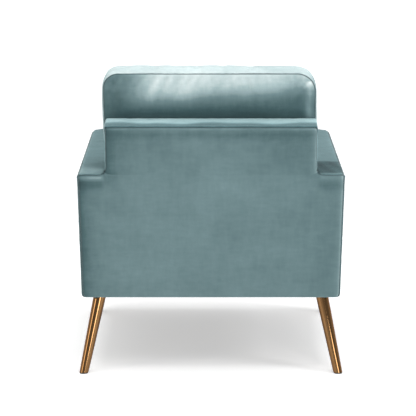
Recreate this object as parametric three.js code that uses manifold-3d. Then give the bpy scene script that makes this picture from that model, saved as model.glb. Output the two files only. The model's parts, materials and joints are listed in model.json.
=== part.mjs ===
// Upholstered armchair with loose seat and back cushions, on four splayed tapered metal legs.
// Millimetres, +Z up, the sitter faces -Y. Origin on the floor under the middle of the bounding box.
import * as THREE from "three";
import { mergeVertices } from "three/addons/utils/BufferGeometryUtils.js";
import Module from "manifold-3d";

const wasm = await Module();
wasm.setup();

// ---- Driving dimensions ----
const WIDTH = 730; // over both arms
const ARM_TOP = 570; // height of the arms
const ARM_LENGTH = 742; // arm top, front to rear
const ARM_WIDTH = 75;
const BACK_TOP = 704; // rear edge of the back frame's top
const BACK_THICK = 92;
const BASE = 212; // underside of the body
const BASE_TAPER = 6; // how far each side leans in between arm top and base
const RAKE = THREE.MathUtils.degToRad(6.7); // the back leans this far from upright
const SEAT_SLOPE = THREE.MathUtils.degToRad(2.5); // the seat falls this much towards the back
const DECK_FRONT = 305; // top of the sprung deck at its front edge

const SKIN = 2.5; // upholstery fabric with its backing
const GAP = 0.3; // between neighbouring pieces
const ARM_PAD = 9.7; // foam beside the arm's wood
const ARM_TOP_PAD = 14.7;
const FRONT_PAD = 12.4;
const LINER = 6; // board behind the back
const BACK_PAD = 32;
const BACK_TOP_PAD = 12;
const BAND_FOOT = -30; // the back's side bands go this far down behind the arms

const SEAT_CUSHION = { thick: 130, depth: 612, overhang: 8, halfWidth: 288.5, lift: 0.6, foot: 14 };
const BACK_CUSHION = { thick: 125, topAlongBack: 249, crown: 10, halfWidth: 288.5 };
const CUSHION_SKIN = 3;
const CUSHION_CLEARANCE = 1.5;

const RAIL = 25; // thickness of the seat rails
const ARM_RAIL = 22;
const POST_DEPTH = 45; // back posts, front to rear
const POST_WIDTH = 40;
const BLOCK_THICK = 24; // leg mounting blocks
const RAIL_BASE = BASE + 6.5; // the seat rails end above the hem, so the leg plates don't show
const BLOCK_TOP = RAIL_BASE + BLOCK_THICK;

const LEG_TOP_RADIUS = 17.5;
const LEG_FOOT_RADIUS = 12.5;
const LEG_WALL = 1.5;
const LEG_FOOT_X = 356;
const LEG_TOP_X = 311;
const LEG_SPLAY_Y = 59; // the foot stands this much further out than the plate, front to rear
const LEG_REAR_TOP_Y = 285;
const LEG_FRONT_TOP_Y = -258;
const PAD_ROUND = { top: 12, front: 16, back: 10 }; // radii of the foam's edges under the seams
const PLATE = { side: 58, thick: 3, corner: 8, holeRadius: 2.6, holeInset: 8.5 };
const GLIDE = { radius: 11.8, height: 2.7, stemRadius: 10.3, stemHeight: 15 };

const SPRING = { count: 5, spacing: 110, wire: 2, amplitude: 20, waves: 8, steps: 64, sides: 6 };
const WEBBING = { count: 3, spacing: 140, width: 60, thick: 2.3 };
const ZIP = { half: 250, slot: 14, tape: 24, tapeThick: 1.6, slider: 14, pull: 26 };

const SIDES = [["left", 1], ["right", -1]]; // the sitter's left is +X

// ---- Sizes worked out from them ----
const HALF = WIDTH / 2;
const ARM_IN = HALF - ARM_WIDTH;
const BACK_HALF = ARM_IN - 0.5;
const TAN_RAKE = Math.tan(RAKE);
const BACK_HEIGHT = (BACK_TOP - ARM_TOP) / Math.cos(RAKE); // along the back, above the arms
const FRONT_REACH = // how far the seat cushion stands out in front of the arms
  SEAT_CUSHION.overhang * Math.cos(SEAT_SLOPE) -
  (SEAT_CUSHION.lift + SEAT_CUSHION.foot) * Math.sin(SEAT_SLOPE);
const REAR_Y = (ARM_LENGTH + FRONT_REACH - (BACK_TOP - ARM_TOP) * TAN_RAKE) / 2;
const FRONT_Y = REAR_Y - ARM_LENGTH;
const WOOD_IN = ARM_IN + SKIN + ARM_PAD + 2 * GAP;
const WOOD_OUT = HALF - SKIN - ARM_PAD - 2 * GAP;
const WOOD_TOP = ARM_TOP - SKIN - ARM_TOP_PAD - 2 * GAP;
const WOOD_FRONT = FRONT_Y + SKIN + FRONT_PAD + 2 * GAP;
const BACK_WOOD_REAR = SKIN + LINER + 2 * GAP;
const BACK_WOOD_FRONT = BACK_WOOD_REAR + POST_DEPTH;
const POST_OUT = BACK_HALF - SKIN - GAP;
const POST_IN = POST_OUT - POST_WIDTH;
const DECK_SKIN = 2;
const DECK_PAD = 18;
const SPRING_Z = -(DECK_SKIN + DECK_PAD + 2 * GAP + SPRING.wire); // wire's middle, below the deck's top
const RAIL_DROP = SPRING_Z - SPRING.wire - GAP; // top of the seat rails, below the deck's top

// Depth of a plane parallel to the outside back, "inset" in front of it, at height z.
function rearAt(z, inset = 0) {
  return REAR_Y + (z - ARM_TOP) * TAN_RAKE - inset / Math.cos(RAKE);
}

// Height of the sloping seat's surface, "up" above the deck, at depth y.
function seatAt(y, up = 0) {
  return DECK_FRONT + up / Math.cos(SEAT_SLOPE) - (y - FRONT_Y) * Math.tan(SEAT_SLOPE);
}

// Where the outer face of a side is at height z, "inset" inside it.
function sideAt(z, inset = 0) {
  return HALF - inset - (BASE_TAPER * (ARM_TOP - z)) / (ARM_TOP - BASE);
}

// ---- Materials ----
function material(color, roughness, metalness = 0) {
  return new THREE.MeshStandardMaterial({ color, roughness, metalness });
}
const velvet = material(0x6f888a, 0.85);
const foam = material(0xe6dcc0, 0.95);
const wood = material(0xc7a26b, 0.7);
const lining = material(0x26282a, 0.95);
const webbing = material(0x2f3133, 0.9);
const springSteel = material(0x8c8f92, 0.4, 1);
const brass = material(0xb08a55, 0.28, 1);
const nylon = material(0x1d1d1f, 0.6);
const zipNickel = material(0xb9bbbd, 0.35, 1);

// ---- Shape helpers ----
// An outline whose corners are [a, b, radius].
function outline(corners) {
  const shape = new THREE.Shape();
  corners.forEach(([a, b, radius = 0], i) => {
    const here = new THREE.Vector2(a, b);
    const back = new THREE.Vector2(...corners.at(i - 1).slice(0, 2)).sub(here).normalize();
    const on = new THREE.Vector2(...corners[(i + 1) % corners.length].slice(0, 2)).sub(here).normalize();
    const reach = radius / Math.tan(Math.acos(back.dot(on)) / 2);
    const from = back.multiplyScalar(reach).add(here);
    const to = on.multiplyScalar(reach).add(here);
    if (i === 0) shape.moveTo(from.x, from.y);
    else shape.lineTo(from.x, from.y);
    if (radius > 0) shape.quadraticCurveTo(a, b, to.x, to.y);
  });
  shape.closePath();
  return shape;
}

// The same convex, counter-clockwise corners moved inwards by "inset".
function insetCorners(corners, inset) {
  const edges = corners.map(([a, b], i) => {
    const [c, d] = corners[(i + 1) % corners.length];
    const along = new THREE.Vector2(c - a, d - b).normalize();
    const start = new THREE.Vector2(a - along.y * inset, b + along.x * inset);
    return { start, along };
  });
  return corners.map(([, , radius = 0], i) => {
    const p = edges.at(i - 1);
    const q = edges[i];
    const gap = q.start.clone().sub(p.start);
    const t = gap.cross(q.along) / p.along.cross(q.along);
    const at = p.start.clone().addScaledVector(p.along, t);
    return [at.x, at.y, Math.max(radius - inset, 0)];
  });
}

function extrude(corners, depth, basis, origin) {
  const options = { depth, bevelEnabled: false, curveSegments: 5 };
  const geometry = new THREE.ExtrudeGeometry(outline(corners), options);
  const turn = new THREE.Matrix4().makeBasis(...basis);
  return geometry.applyMatrix4(turn).translate(...origin);
}

const X = new THREE.Vector3(1, 0, 0);
const Y = new THREE.Vector3(0, 1, 0);
const Z = new THREE.Vector3(0, 0, 1);

// Prisms with a (y, z), (x, z) or (x, y) outline.
function prismX(corners, x0, x1) {
  return extrude(corners, Math.abs(x1 - x0), [Y, Z, X], [Math.min(x0, x1), 0, 0]);
}
function prismY(corners, y0, y1) {
  return extrude(corners, y1 - y0, [X, Z, Y.clone().negate()], [0, y1, 0]);
}
function prismZ(corners, z0, z1) {
  return extrude(corners, z1 - z0, [X, Y, Z], [0, 0, z0]);
}

function slab(x0, x1, y0, y1, z0, z1) {
  const box = new THREE.BoxGeometry(Math.abs(x1 - x0), y1 - y0, z1 - z0);
  return box.translate((x0 + x1) / 2, (y0 + y1) / 2, (z0 + z1) / 2);
}

function rectangle(a0, a1, b0, b1, radius = 0) {
  return [
    [a0, b0, radius],
    [a1, b0, radius],
    [a1, b1, radius],
    [a0, b1, radius],
  ];
}

function solid(geometry) {
  const bare = geometry.clone();
  bare.deleteAttribute("normal");
  bare.deleteAttribute("uv");
  const merged = mergeVertices(bare, 1e-4);
  return new wasm.Manifold(
    new wasm.Mesh({
      numProp: 3,
      vertProperties: merged.attributes.position.array,
      triVerts: new Uint32Array(merged.index.array),
    }),
  );
}

function geometryOf(made) {
  const mesh = made.getMesh();
  const geometry = new THREE.BufferGeometry();
  geometry.setAttribute("position", new THREE.BufferAttribute(mesh.vertProperties, 3));
  geometry.setIndex(new THREE.BufferAttribute(mesh.triVerts, 1));
  geometry.computeVertexNormals();
  return geometry;
}

function join(first, ...others) {
  return geometryOf(others.reduce((all, next) => all.add(solid(next)), solid(first)));
}
function cut(first, ...others) {
  return geometryOf(others.reduce((all, next) => all.subtract(solid(next)), solid(first)));
}
function common(first, second) {
  return geometryOf(solid(first).intersect(solid(second)));
}

// ---- The groups: each has its own frame ----
const chair = new THREE.Group();

// Along and across the raked back: y = 0 is the outside face, z = 0 is level with the arm tops.
const backFrame = new THREE.Group();
backFrame.position.set(0, REAR_Y, ARM_TOP);
backFrame.rotation.x = -RAKE;

// Along the sloping seat: y = 0 is the front of the body, z = 0 is the top of the deck.
const seatFrame = new THREE.Group();
seatFrame.position.set(0, FRONT_Y, DECK_FRONT);
seatFrame.rotation.x = -SEAT_SLOPE;

// The back cushion stands on the seat cushion: y = 0, z = 0 is its lower rear edge.
const restingPlane = SEAT_CUSHION.thick + CUSHION_CLEARANCE;
const cushionRear = BACK_THICK + CUSHION_CLEARANCE;
const cushionFootY = (() => {
  const tanSlope = Math.tan(SEAT_SLOPE);
  const seatAtFront = seatAt(FRONT_Y, restingPlane);
  // rearAt(z, cushionRear) and seatAt(y, restingPlane) meet here.
  const y = rearAt(seatAtFront, cushionRear) + FRONT_Y * tanSlope * TAN_RAKE;
  return y / (1 + tanSlope * TAN_RAKE);
})();
const cushionFrame = new THREE.Group();
cushionFrame.position.set(0, cushionFootY, seatAt(cushionFootY, restingPlane));
cushionFrame.rotation.x = -SEAT_SLOPE;
chair.add(backFrame, seatFrame, cushionFrame);

function add(group, name, geometry, look) {
  const mesh = new THREE.Mesh(geometry, look);
  mesh.name = name;
  group.add(mesh);
}

// Height along the back of the point "inset" in front of its outside face that is z above the floor.
function alongBack(z, inset) {
  return (z - ARM_TOP - inset * Math.sin(RAKE)) / Math.cos(RAKE);
}

// ---- Arms ----
// Everything behind the raked plane "inset" in front of the outside back.
function behind(inset) {
  const low = BASE - 40;
  const high = ARM_TOP + 40;
  const far = REAR_Y + 100;
  const corners = [
    [rearAt(low, inset), low],
    [far, low],
    [far, high],
    [rearAt(high, inset), high],
  ];
  return prismX(corners, -WIDTH, WIDTH);
}

function mirrored(corners, side) {
  const turned = corners.map(([a, b, radius]) => [side * a, b, radius]);
  return side > 0 ? turned : turned.reverse();
}

// A block whose rear end follows the raked back.
function armPrism(y0, y1, z0, z1, side, rearInset) {
  const corners = rearInset === undefined
    ? rectangle(y0, y1, z0, z1)
    : [
        [y0, z0],
        [rearAt(z0, rearInset), z0],
        [rearAt(z1, rearInset), z1],
        [y0, z1],
      ];
  return prismX(corners, side * WOOD_IN, side * WOOD_OUT);
}

function addArmCovers(name, side) {
  const rear = behind(SKIN + GAP);
  const farRear = REAR_Y + 30;
  const outside = [
    [HALF - SKIN, ARM_TOP],
    [sideAt(BASE, SKIN), BASE],
    [sideAt(BASE), BASE],
    [HALF, ARM_TOP, 2],
  ];
  const plate = prismY(mirrored(outside, side), FRONT_Y, farRear);
  add(chair, `${name}_arm_outside_cover`, cut(plate, rear), velvet);

  const inside = prismX(
    [
      [FRONT_Y, BLOCK_TOP + 1],
      [rearAt(BLOCK_TOP + 1, BACK_WOOD_REAR), BLOCK_TOP + 1],
      [rearAt(ARM_TOP, BACK_WOOD_REAR), ARM_TOP],
      [FRONT_Y, ARM_TOP],
    ],
    side * ARM_IN,
    side * (ARM_IN + SKIN),
  );
  add(chair, `${name}_arm_inside_cover`, cut(inside, frontRailSpace()), velvet);

  const front = [
    [ARM_IN + SKIN + GAP, BASE],
    [sideAt(BASE, SKIN + GAP), BASE],
    [HALF - SKIN - GAP, ARM_TOP],
    [ARM_IN + SKIN + GAP, ARM_TOP],
  ];
  const top = rectangle(ARM_IN + SKIN + GAP, HALF - SKIN - GAP, ARM_TOP - SKIN, ARM_TOP);
  const frontBand = prismY(mirrored(front, side), FRONT_Y, FRONT_Y + SKIN);
  const topBand = prismY(mirrored(top, side), FRONT_Y, farRear);
  add(chair, `${name}_arm_band_cover`, cut(join(frontBand, topBand), rear), velvet);
}

function addArmPadding(name, side) {
  const inner = ARM_IN + SKIN + GAP;
  const section = [
    [inner, BLOCK_TOP + 1],
    [WOOD_IN - GAP, BLOCK_TOP + 1],
    [WOOD_IN - GAP, WOOD_TOP + GAP],
    [WOOD_OUT + GAP, WOOD_TOP + GAP],
    [WOOD_OUT + GAP, RAIL_BASE],
    [sideAt(RAIL_BASE, SKIN + GAP), RAIL_BASE],
    [HALF - SKIN - GAP, ARM_TOP - SKIN - GAP],
    [inner, ARM_TOP - SKIN - GAP],
  ];
  const front = [
    [inner, BLOCK_TOP + 1],
    [sideAt(BLOCK_TOP + 1, SKIN + GAP), BLOCK_TOP + 1],
    [HALF - SKIN - GAP, ARM_TOP - SKIN - GAP],
    [inner, ARM_TOP - SKIN - GAP],
  ];
  const padFront = FRONT_Y + SKIN + GAP;
  const padTop = ARM_TOP - SKIN - GAP;
  const sleeve = prismY(mirrored(section, side), padFront, REAR_Y + 30);
  const cap = prismY(mirrored(front, side), padFront, WOOD_FRONT - GAP);
  const square = cut(join(sleeve, cap), behind(BACK_WOOD_REAR), frontRailSpace());

  const acrossTop = [
    [inner, BASE],
    [sideAt(BASE, SKIN + GAP), BASE],
    [HALF - SKIN - GAP, padTop, PAD_ROUND.top],
    [inner, padTop, PAD_ROUND.top],
  ];
  const alongTop = [
    [padFront, BASE],
    [REAR_Y + 40, BASE],
    [REAR_Y + 40, padTop],
    [padFront, padTop, PAD_ROUND.front],
  ];
  const plan = [
    [inner, padFront, PAD_ROUND.back],
    [HALF - SKIN - GAP, padFront, PAD_ROUND.front],
    [HALF - SKIN - GAP, REAR_Y + 40],
    [inner, REAR_Y + 40],
  ];
  const roundedTop = common(square, prismY(mirrored(acrossTop, side), FRONT_Y, REAR_Y + 40));
  const roundedFront = common(roundedTop, prismX(alongTop, -WIDTH, WIDTH));
  const padding = common(roundedFront, prismZ(mirrored(plan, side), BASE, ARM_TOP));
  add(chair, `${name}_arm_padding`, padding, foam);
}

function addArmWood(name, side) {
  const postTop = WOOD_TOP - ARM_RAIL - GAP;
  const frontPost = armPrism(WOOD_FRONT, WOOD_FRONT + RAIL, RAIL_BASE, postTop, side);
  add(chair, `${name}_arm_front_post`, frontPost, wood);

  const rearPost = prismX(
    [
      [rearAt(BLOCK_TOP + GAP, BACK_WOOD_FRONT), BLOCK_TOP + GAP],
      [rearAt(BLOCK_TOP + GAP, BACK_WOOD_REAR), BLOCK_TOP + GAP],
      [rearAt(postTop, BACK_WOOD_REAR), postTop],
      [rearAt(postTop, BACK_WOOD_FRONT), postTop],
    ],
    side * WOOD_IN,
    side * WOOD_OUT,
  );
  add(chair, `${name}_arm_rear_post`, rearPost, wood);

  const topRail = armPrism(WOOD_FRONT, 0, WOOD_TOP - ARM_RAIL, WOOD_TOP, side, BACK_WOOD_REAR);
  add(chair, `${name}_arm_top_rail`, topRail, wood);

  const sideRailTop = BLOCK_TOP + 50;
  const sideRail = armPrism(
    WOOD_FRONT + RAIL + GAP, 0, BLOCK_TOP + GAP, sideRailTop, side, BACK_WOOD_FRONT + GAP,
  );
  add(chair, `${name}_side_rail`, sideRail, wood);
}

// ---- Seat frame ----
const frontRailTop = seatAt(WOOD_FRONT + RAIL, RAIL_DROP);
const rearRailFront = rearAt(RAIL_BASE, BACK_WOOD_FRONT) + 3;

function frontRailSpace() {
  const reach = WOOD_IN - GAP;
  return slab(-reach, reach, WOOD_FRONT - GAP, WOOD_FRONT + RAIL + GAP, RAIL_BASE, frontRailTop + GAP);
}

function addSeatWood() {
  const railHalf = WOOD_IN - GAP;
  const frontRail = slab(-railHalf, railHalf, WOOD_FRONT, WOOD_FRONT + RAIL, RAIL_BASE, frontRailTop);
  add(chair, "front_seat_rail", frontRail, wood);

  const rearTop = seatAt(rearRailFront + RAIL, RAIL_DROP);
  const rearHalf = POST_IN - GAP;
  const rearRail = slab(-rearHalf, rearHalf, rearRailFront, rearRailFront + RAIL, RAIL_BASE, rearTop);
  add(chair, "rear_seat_rail", rearRail, wood);

  const blockDepth = 80;
  for (const [sideName, side] of SIDES) {
    const ends = [
      ["front", LEG_FRONT_TOP_Y - blockDepth / 2, LEG_FRONT_TOP_Y + blockDepth / 2],
      ["rear", rearAt(RAIL_BASE, BACK_WOOD_REAR) - blockDepth, rearAt(RAIL_BASE, BACK_WOOD_REAR)],
    ];
    for (const [endName, y0, y1] of ends) {
      const block = slab(side * POST_IN, side * WOOD_OUT, y0, y1, RAIL_BASE, BLOCK_TOP);
      add(chair, `${endName}_${sideName}_leg_block`, block, wood);
    }
  }
}

// A zigzag spring's line, from the front rail to the rear rail.
class ZigzagLine extends THREE.Curve {
  constructor(x, y0, y1) {
    super();
    Object.assign(this, { x, y0, y1 });
  }
  getPoint(t, target = new THREE.Vector3()) {
    const turn = 2 * Math.PI * SPRING.waves * t;
    return target.set(
      this.x + SPRING.amplitude * Math.sin(turn),
      THREE.MathUtils.lerp(this.y0, this.y1, t),
      SPRING_Z,
    );
  }
}

function addSprings() {
  const y0 = WOOD_FRONT + RAIL / 2 - FRONT_Y;
  const y1 = (rearRailFront + RAIL / 2 - FRONT_Y) / Math.cos(SEAT_SLOPE);
  const clipThick = 2 * SPRING.wire - 0.2;
  for (let i = 0; i < SPRING.count; i++) {
    const x = (i - (SPRING.count - 1) / 2) * SPRING.spacing;
    const ring = Array.from({ length: SPRING.sides }, (_, k) => {
      const angle = (2 * Math.PI * k) / SPRING.sides;
      return [SPRING.wire * Math.cos(angle), SPRING.wire * Math.sin(angle)];
    });
    const extrudePath = new ZigzagLine(x, y0, y1);
    const wire = new THREE.ExtrudeGeometry(outline(ring), { extrudePath, steps: SPRING.steps });
    const clips = [y0, y1].map((y) => slab(
      x - 12, x + 12, y - 8, y + 8, SPRING_Z - clipThick / 2, SPRING_Z + clipThick / 2,
    ));
    add(seatFrame, `seat_spring_${i + 1}`, join(wire, ...clips), springSteel);
  }
}

function addSeatUpholstery() {
  const halfWidth = ARM_IN - 0.6;
  const deckEnd = SEAT_CUSHION.depth - 2;
  const lap = SKIN + GAP + 0.3;
  add(seatFrame, "deck_cover", slab(-halfWidth, halfWidth, lap, deckEnd, -DECK_SKIN, 0), lining);

  const padTop = -DECK_SKIN - GAP;
  const padFront = WOOD_FRONT - FRONT_Y + 1.5;
  const deckPad = slab(-halfWidth, halfWidth, padFront, deckEnd, padTop - DECK_PAD, padTop);
  add(seatFrame, "deck_padding", deckPad, foam);

  const railPadTop = seatAt(WOOD_FRONT, padTop) - GAP;
  const railPad = [
    [FRONT_Y + SKIN + GAP, RAIL_BASE],
    [WOOD_FRONT - GAP, RAIL_BASE],
    [WOOD_FRONT - GAP, railPadTop],
    [FRONT_Y + SKIN + GAP, railPadTop, PAD_ROUND.back],
  ];
  add(chair, "front_rail_padding", prismX(railPad, -halfWidth, halfWidth), foam);

  const border = rectangle(FRONT_Y, FRONT_Y + SKIN, BASE, DECK_FRONT - GAP);
  add(chair, "front_border_cover", prismX(border, -halfWidth, halfWidth), velvet);

  const dustHalf = sideAt(BASE, SKIN) - 2.5;
  const dustTop = RAIL_BASE - 1.6;
  const dust = slab(-dustHalf, dustHalf, FRONT_Y + 4, rearAt(BASE, 4), dustTop - 1.2, dustTop);
  add(chair, "dust_cover", dust, lining);
}

// ---- Back ----
// The outside back's outline, wide over the arms and narrow above them, "inset" inside its edges.
function backOutline(inset, shoulder, corner) {
  const foot = alongBack(BASE, 0) + inset;
  const low = sideAt(BASE, inset);
  const top = BACK_HEIGHT - inset;
  const neck = BACK_HALF - inset;
  return [
    [-low, foot],
    [low, foot],
    [HALF - inset, shoulder],
    [neck, shoulder],
    [neck, top, corner],
    [-neck, top, corner],
    [-neck, shoulder],
    [-(HALF - inset), shoulder],
  ];
}

function addBackCovers() {
  const outside = prismY(backOutline(0, 0, 5), -SKIN, 0);
  add(backFrame, "back_outside_cover", outside, velvet);

  const rear = -(SKIN + GAP);
  const front = -(BACK_THICK - SKIN - GAP);
  const outer = [
    [-BACK_HALF, BAND_FOOT],
    [BACK_HALF, BAND_FOOT],
    [BACK_HALF, BACK_HEIGHT, 5],
    [-BACK_HALF, BACK_HEIGHT, 5],
  ];
  const innerHalf = BACK_HALF - SKIN;
  const innerTop = BACK_HEIGHT - SKIN;
  const inner = rectangle(-innerHalf, innerHalf, BAND_FOOT - 10, innerTop);
  const band = cut(prismY(outer, front, rear), prismY(inner, front - 10, rear + 10));
  add(backFrame, "back_band_cover", band, velvet);

  const coverFoot = alongBack(seatAt(REAR_Y - BACK_THICK) - 12, BACK_THICK);
  const inside = rectangle(-BACK_HALF, BACK_HALF, coverFoot, BACK_HEIGHT);
  add(backFrame, "back_inside_cover", prismY(inside, -BACK_THICK, -BACK_THICK + SKIN), velvet);

  const linerRear = -(SKIN + GAP);
  const liner = prismY(backOutline(SKIN + 5, BAND_FOOT - 5, 0), linerRear - LINER, linerRear);
  add(backFrame, "back_liner_board", liner, lining);
}

function addBackInside() {
  const top = BACK_HEIGHT - SKIN - GAP;
  const rear = -BACK_WOOD_REAR;
  const woodFront = -BACK_WOOD_FRONT;
  const padFront = -(BACK_THICK - SKIN - GAP);
  const padFoot = alongBack(seatAt(REAR_Y - BACK_THICK) - 10, BACK_THICK);
  const section = [
    [padFront, padFoot],
    [padFront + BACK_PAD, padFoot],
    [padFront + BACK_PAD, top - BACK_TOP_PAD],
    [rear, top - BACK_TOP_PAD],
    [rear, top],
    [padFront, top, PAD_ROUND.back],
  ];
  const across = [
    [-POST_OUT, padFoot - 1],
    [POST_OUT, padFoot - 1],
    [POST_OUT, top, PAD_ROUND.back],
    [-POST_OUT, top, PAD_ROUND.back],
  ];
  const slopes = prismX(section, -POST_OUT - 1, POST_OUT + 1);
  add(backFrame, "back_padding", common(slopes, prismY(across, padFront - 1, rear + 1)), foam);

  const woodTop = top - BACK_TOP_PAD - GAP;
  const postFoot = alongBack(BLOCK_TOP + 0.5, BACK_WOOD_REAR);
  for (const [name, side] of SIDES) {
    const post = slab(side * POST_IN, side * POST_OUT, woodFront, rear, postFoot, woodTop);
    add(backFrame, `${name}_back_post`, post, wood);
  }
  const railHalf = POST_IN - GAP;
  const topRail = slab(-railHalf, railHalf, woodFront, rear, woodTop - 50, woodTop);
  add(backFrame, "back_top_rail", topRail, wood);
  const lowFoot = alongBack(seatAt(REAR_Y) + 25, 0);
  const lowRail = slab(-railHalf, railHalf, woodFront, rear, lowFoot, lowFoot + 45);
  add(backFrame, "back_lower_rail", lowRail, wood);

  for (let i = 0; i < WEBBING.count; i++) {
    const x = (i - (WEBBING.count - 1) / 2) * WEBBING.spacing;
    const strap = slab(
      x - WEBBING.width / 2, x + WEBBING.width / 2,
      woodFront - GAP - WEBBING.thick, woodFront - GAP, lowFoot, woodTop,
    );
    add(backFrame, `back_webbing_${i + 1}`, strap, webbing);
  }
}

// ---- Loose cushions ----
// A cushion is the space shared by its side profile and its other outline, both "inset" by a skin.
function seatCushionForm(inset) {
  const { thick, depth, overhang, halfWidth, lift, foot } = SEAT_CUSHION;
  const profile = [
    [-overhang, lift, foot],
    [depth, lift, 12],
    [depth, thick, 14],
    [-overhang, thick, 28],
  ];
  const plan = [
    [-halfWidth, -overhang, 26],
    [halfWidth, -overhang, 26],
    [halfWidth, depth, 14],
    [-halfWidth, depth, 14],
  ];
  return common(
    prismX(insetCorners(profile, inset), -WIDTH, WIDTH),
    prismZ(insetCorners(plan, inset), -20, thick + 20),
  );
}

function backCushionForm(inset) {
  const { thick, topAlongBack, crown, halfWidth } = BACK_CUSHION;
  const lean = Math.tan(RAKE - SEAT_SLOPE);
  const foot = alongBack(cushionFrame.position.z, cushionRear);
  const high = (topAlongBack - foot) * Math.cos(RAKE - SEAT_SLOPE);
  const profile = [
    [-thick, 0, 14],
    [0, 0, 12],
    [high * lean, high, 18],
    [high * lean - thick / 2, high + crown, 40],
    [high * lean - thick, high, 18],
  ];
  const front = [
    [-halfWidth, 0, 14],
    [halfWidth, 0, 14],
    [halfWidth, high + crown, 50],
    [-halfWidth, high + crown, 50],
  ];
  return common(
    prismX(insetCorners(profile, inset), -WIDTH, WIDTH),
    prismY(insetCorners(front, inset), -thick - 60, 100),
  );
}

// The zip lies in a slot of the cover. "lay" puts a box given as x, across, depth into the cushion's frame.
function addCushion(group, name, form, lay) {
  const slot = lay(-ZIP.half, ZIP.half, -ZIP.slot / 2, ZIP.slot / 2, -1, CUSHION_SKIN + 2);
  const cover = cut(form(0), form(CUSHION_SKIN), slot);
  add(group, `${name}_cushion_cover`, cover, velvet);

  const tapeHalf = ZIP.tape / 2;
  const tapeStart = CUSHION_SKIN + GAP;
  const tapeEnd = tapeStart + ZIP.tapeThick;
  const tape = lay(-ZIP.half - 5, ZIP.half + 5, -tapeHalf, tapeHalf, tapeStart, tapeEnd);
  add(group, `${name}_cushion_zip`, tape, zipNickel);

  const room = tapeHalf + 1;
  const pocket = lay(-ZIP.half - 7, ZIP.half + 7, -room, room, -1, tapeEnd + GAP);
  add(group, `${name}_cushion_core`, cut(form(CUSHION_SKIN + GAP), pocket), foam);

  const start = -ZIP.half + 4;
  const nose = start + ZIP.slider;
  const body = lay(start, nose, -5, 5, 0.4, CUSHION_SKIN);
  const pull = lay(nose - 4, nose + ZIP.pull, -3, 3, 0.4, 1.8);
  add(group, `${name}_zip_slider`, join(body, pull), zipNickel);
}

function addCushions() {
  const rear = SEAT_CUSHION.depth;
  const middle = SEAT_CUSHION.thick / 2;
  addCushion(seatFrame, "seat", seatCushionForm, (x0, x1, a0, a1, d0, d1) => {
    return slab(x0, x1, rear - d1, rear - d0, middle + a0, middle + a1);
  });
  const halfThick = BACK_CUSHION.thick / 2;
  addCushion(cushionFrame, "back", backCushionForm, (x0, x1, a0, a1, d0, d1) => {
    return slab(x0, x1, -halfThick + a0, -halfThick + a1, d0, d1);
  });
}

// ---- Legs ----
// Keeps what lies between two heights.
function between(geometry, z0, z1) {
  return common(geometry, slab(-600, 600, -600, 600, z0, z1));
}

function addLeg(name, side, topY, splayY) {
  const plateFoot = RAIL_BASE - 1.6 - 1.2 - GAP - PLATE.thick;
  const foot = new THREE.Vector3(side * LEG_FOOT_X, topY + splayY, 0);
  const top = new THREE.Vector3(side * LEG_TOP_X, topY, plateFoot);
  const along = top.clone().sub(foot);
  const length = along.length();
  const stand = new THREE.Matrix4()
    .makeRotationFromQuaternion(new THREE.Quaternion().setFromUnitVectors(Y, along.normalize()))
    .setPosition(foot);

  // Radius and height pairs turned about the leg's axis.
  function turned(profile) {
    const points = profile.map(([radius, height]) => new THREE.Vector2(radius, height));
    return new THREE.LatheGeometry(points, 32).applyMatrix4(stand);
  }
  const spare = 16;
  const slope = (LEG_TOP_RADIUS - LEG_FOOT_RADIUS) / length;
  const low = LEG_FOOT_RADIUS - slope * spare;
  const high = LEG_TOP_RADIUS + slope * spare;
  const tube = turned([
    [low, -spare],
    [high, length + spare],
    [high - LEG_WALL, length + spare],
    [low - LEG_WALL, -spare],
    [low, -spare],
  ]);

  const half = PLATE.side / 2;
  const [cx, cy] = [top.x, top.y];
  const plate = prismZ(
    rectangle(cx - half, cx + half, cy - half, cy + half, PLATE.corner),
    plateFoot,
    plateFoot + PLATE.thick,
  );
  const offset = half - PLATE.holeInset;
  const holes = [[-1, -1], [1, -1], [1, 1], [-1, 1]].map(([a, b]) => {
    const hole = new THREE.CylinderGeometry(PLATE.holeRadius, PLATE.holeRadius, 20, 16);
    return hole.rotateX(Math.PI / 2).translate(cx + a * offset, cy + b * offset, plateFoot);
  });
  const footing = GLIDE.height + GAP;
  const leg = cut(join(plate, between(tube, footing, plateFoot + 1)), ...holes);
  add(chair, `${name}_leg`, leg, brass);

  const rod = (radius, spareEnd) => turned([[0, -spare], [radius, -spare], [radius, spareEnd], [0, spareEnd]]);
  const pad = between(rod(GLIDE.radius, 60), 0, GLIDE.height);
  const stem = between(rod(GLIDE.stemRadius, 60), 0, GLIDE.stemHeight);
  add(chair, `${name}_glide`, join(pad, stem), nylon);
}

for (const [name, side] of SIDES) {
  addArmCovers(name, side);
  addArmPadding(name, side);
  addArmWood(name, side);
  addLeg(`front_${name}`, side, LEG_FRONT_TOP_Y, -LEG_SPLAY_Y);
  addLeg(`rear_${name}`, side, LEG_REAR_TOP_Y, LEG_SPLAY_Y);
}
addSeatWood();
addSprings();
addSeatUpholstery();
addBackCovers();
addBackInside();
addCushions();

export default chair;
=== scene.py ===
"""Looks of the upholstered armchair: velvet panels, stuffed loose cushions and satin metal legs."""

import json
import math

import bmesh
import bpy
import numpy as np
from mathutils import Matrix, Vector


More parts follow.
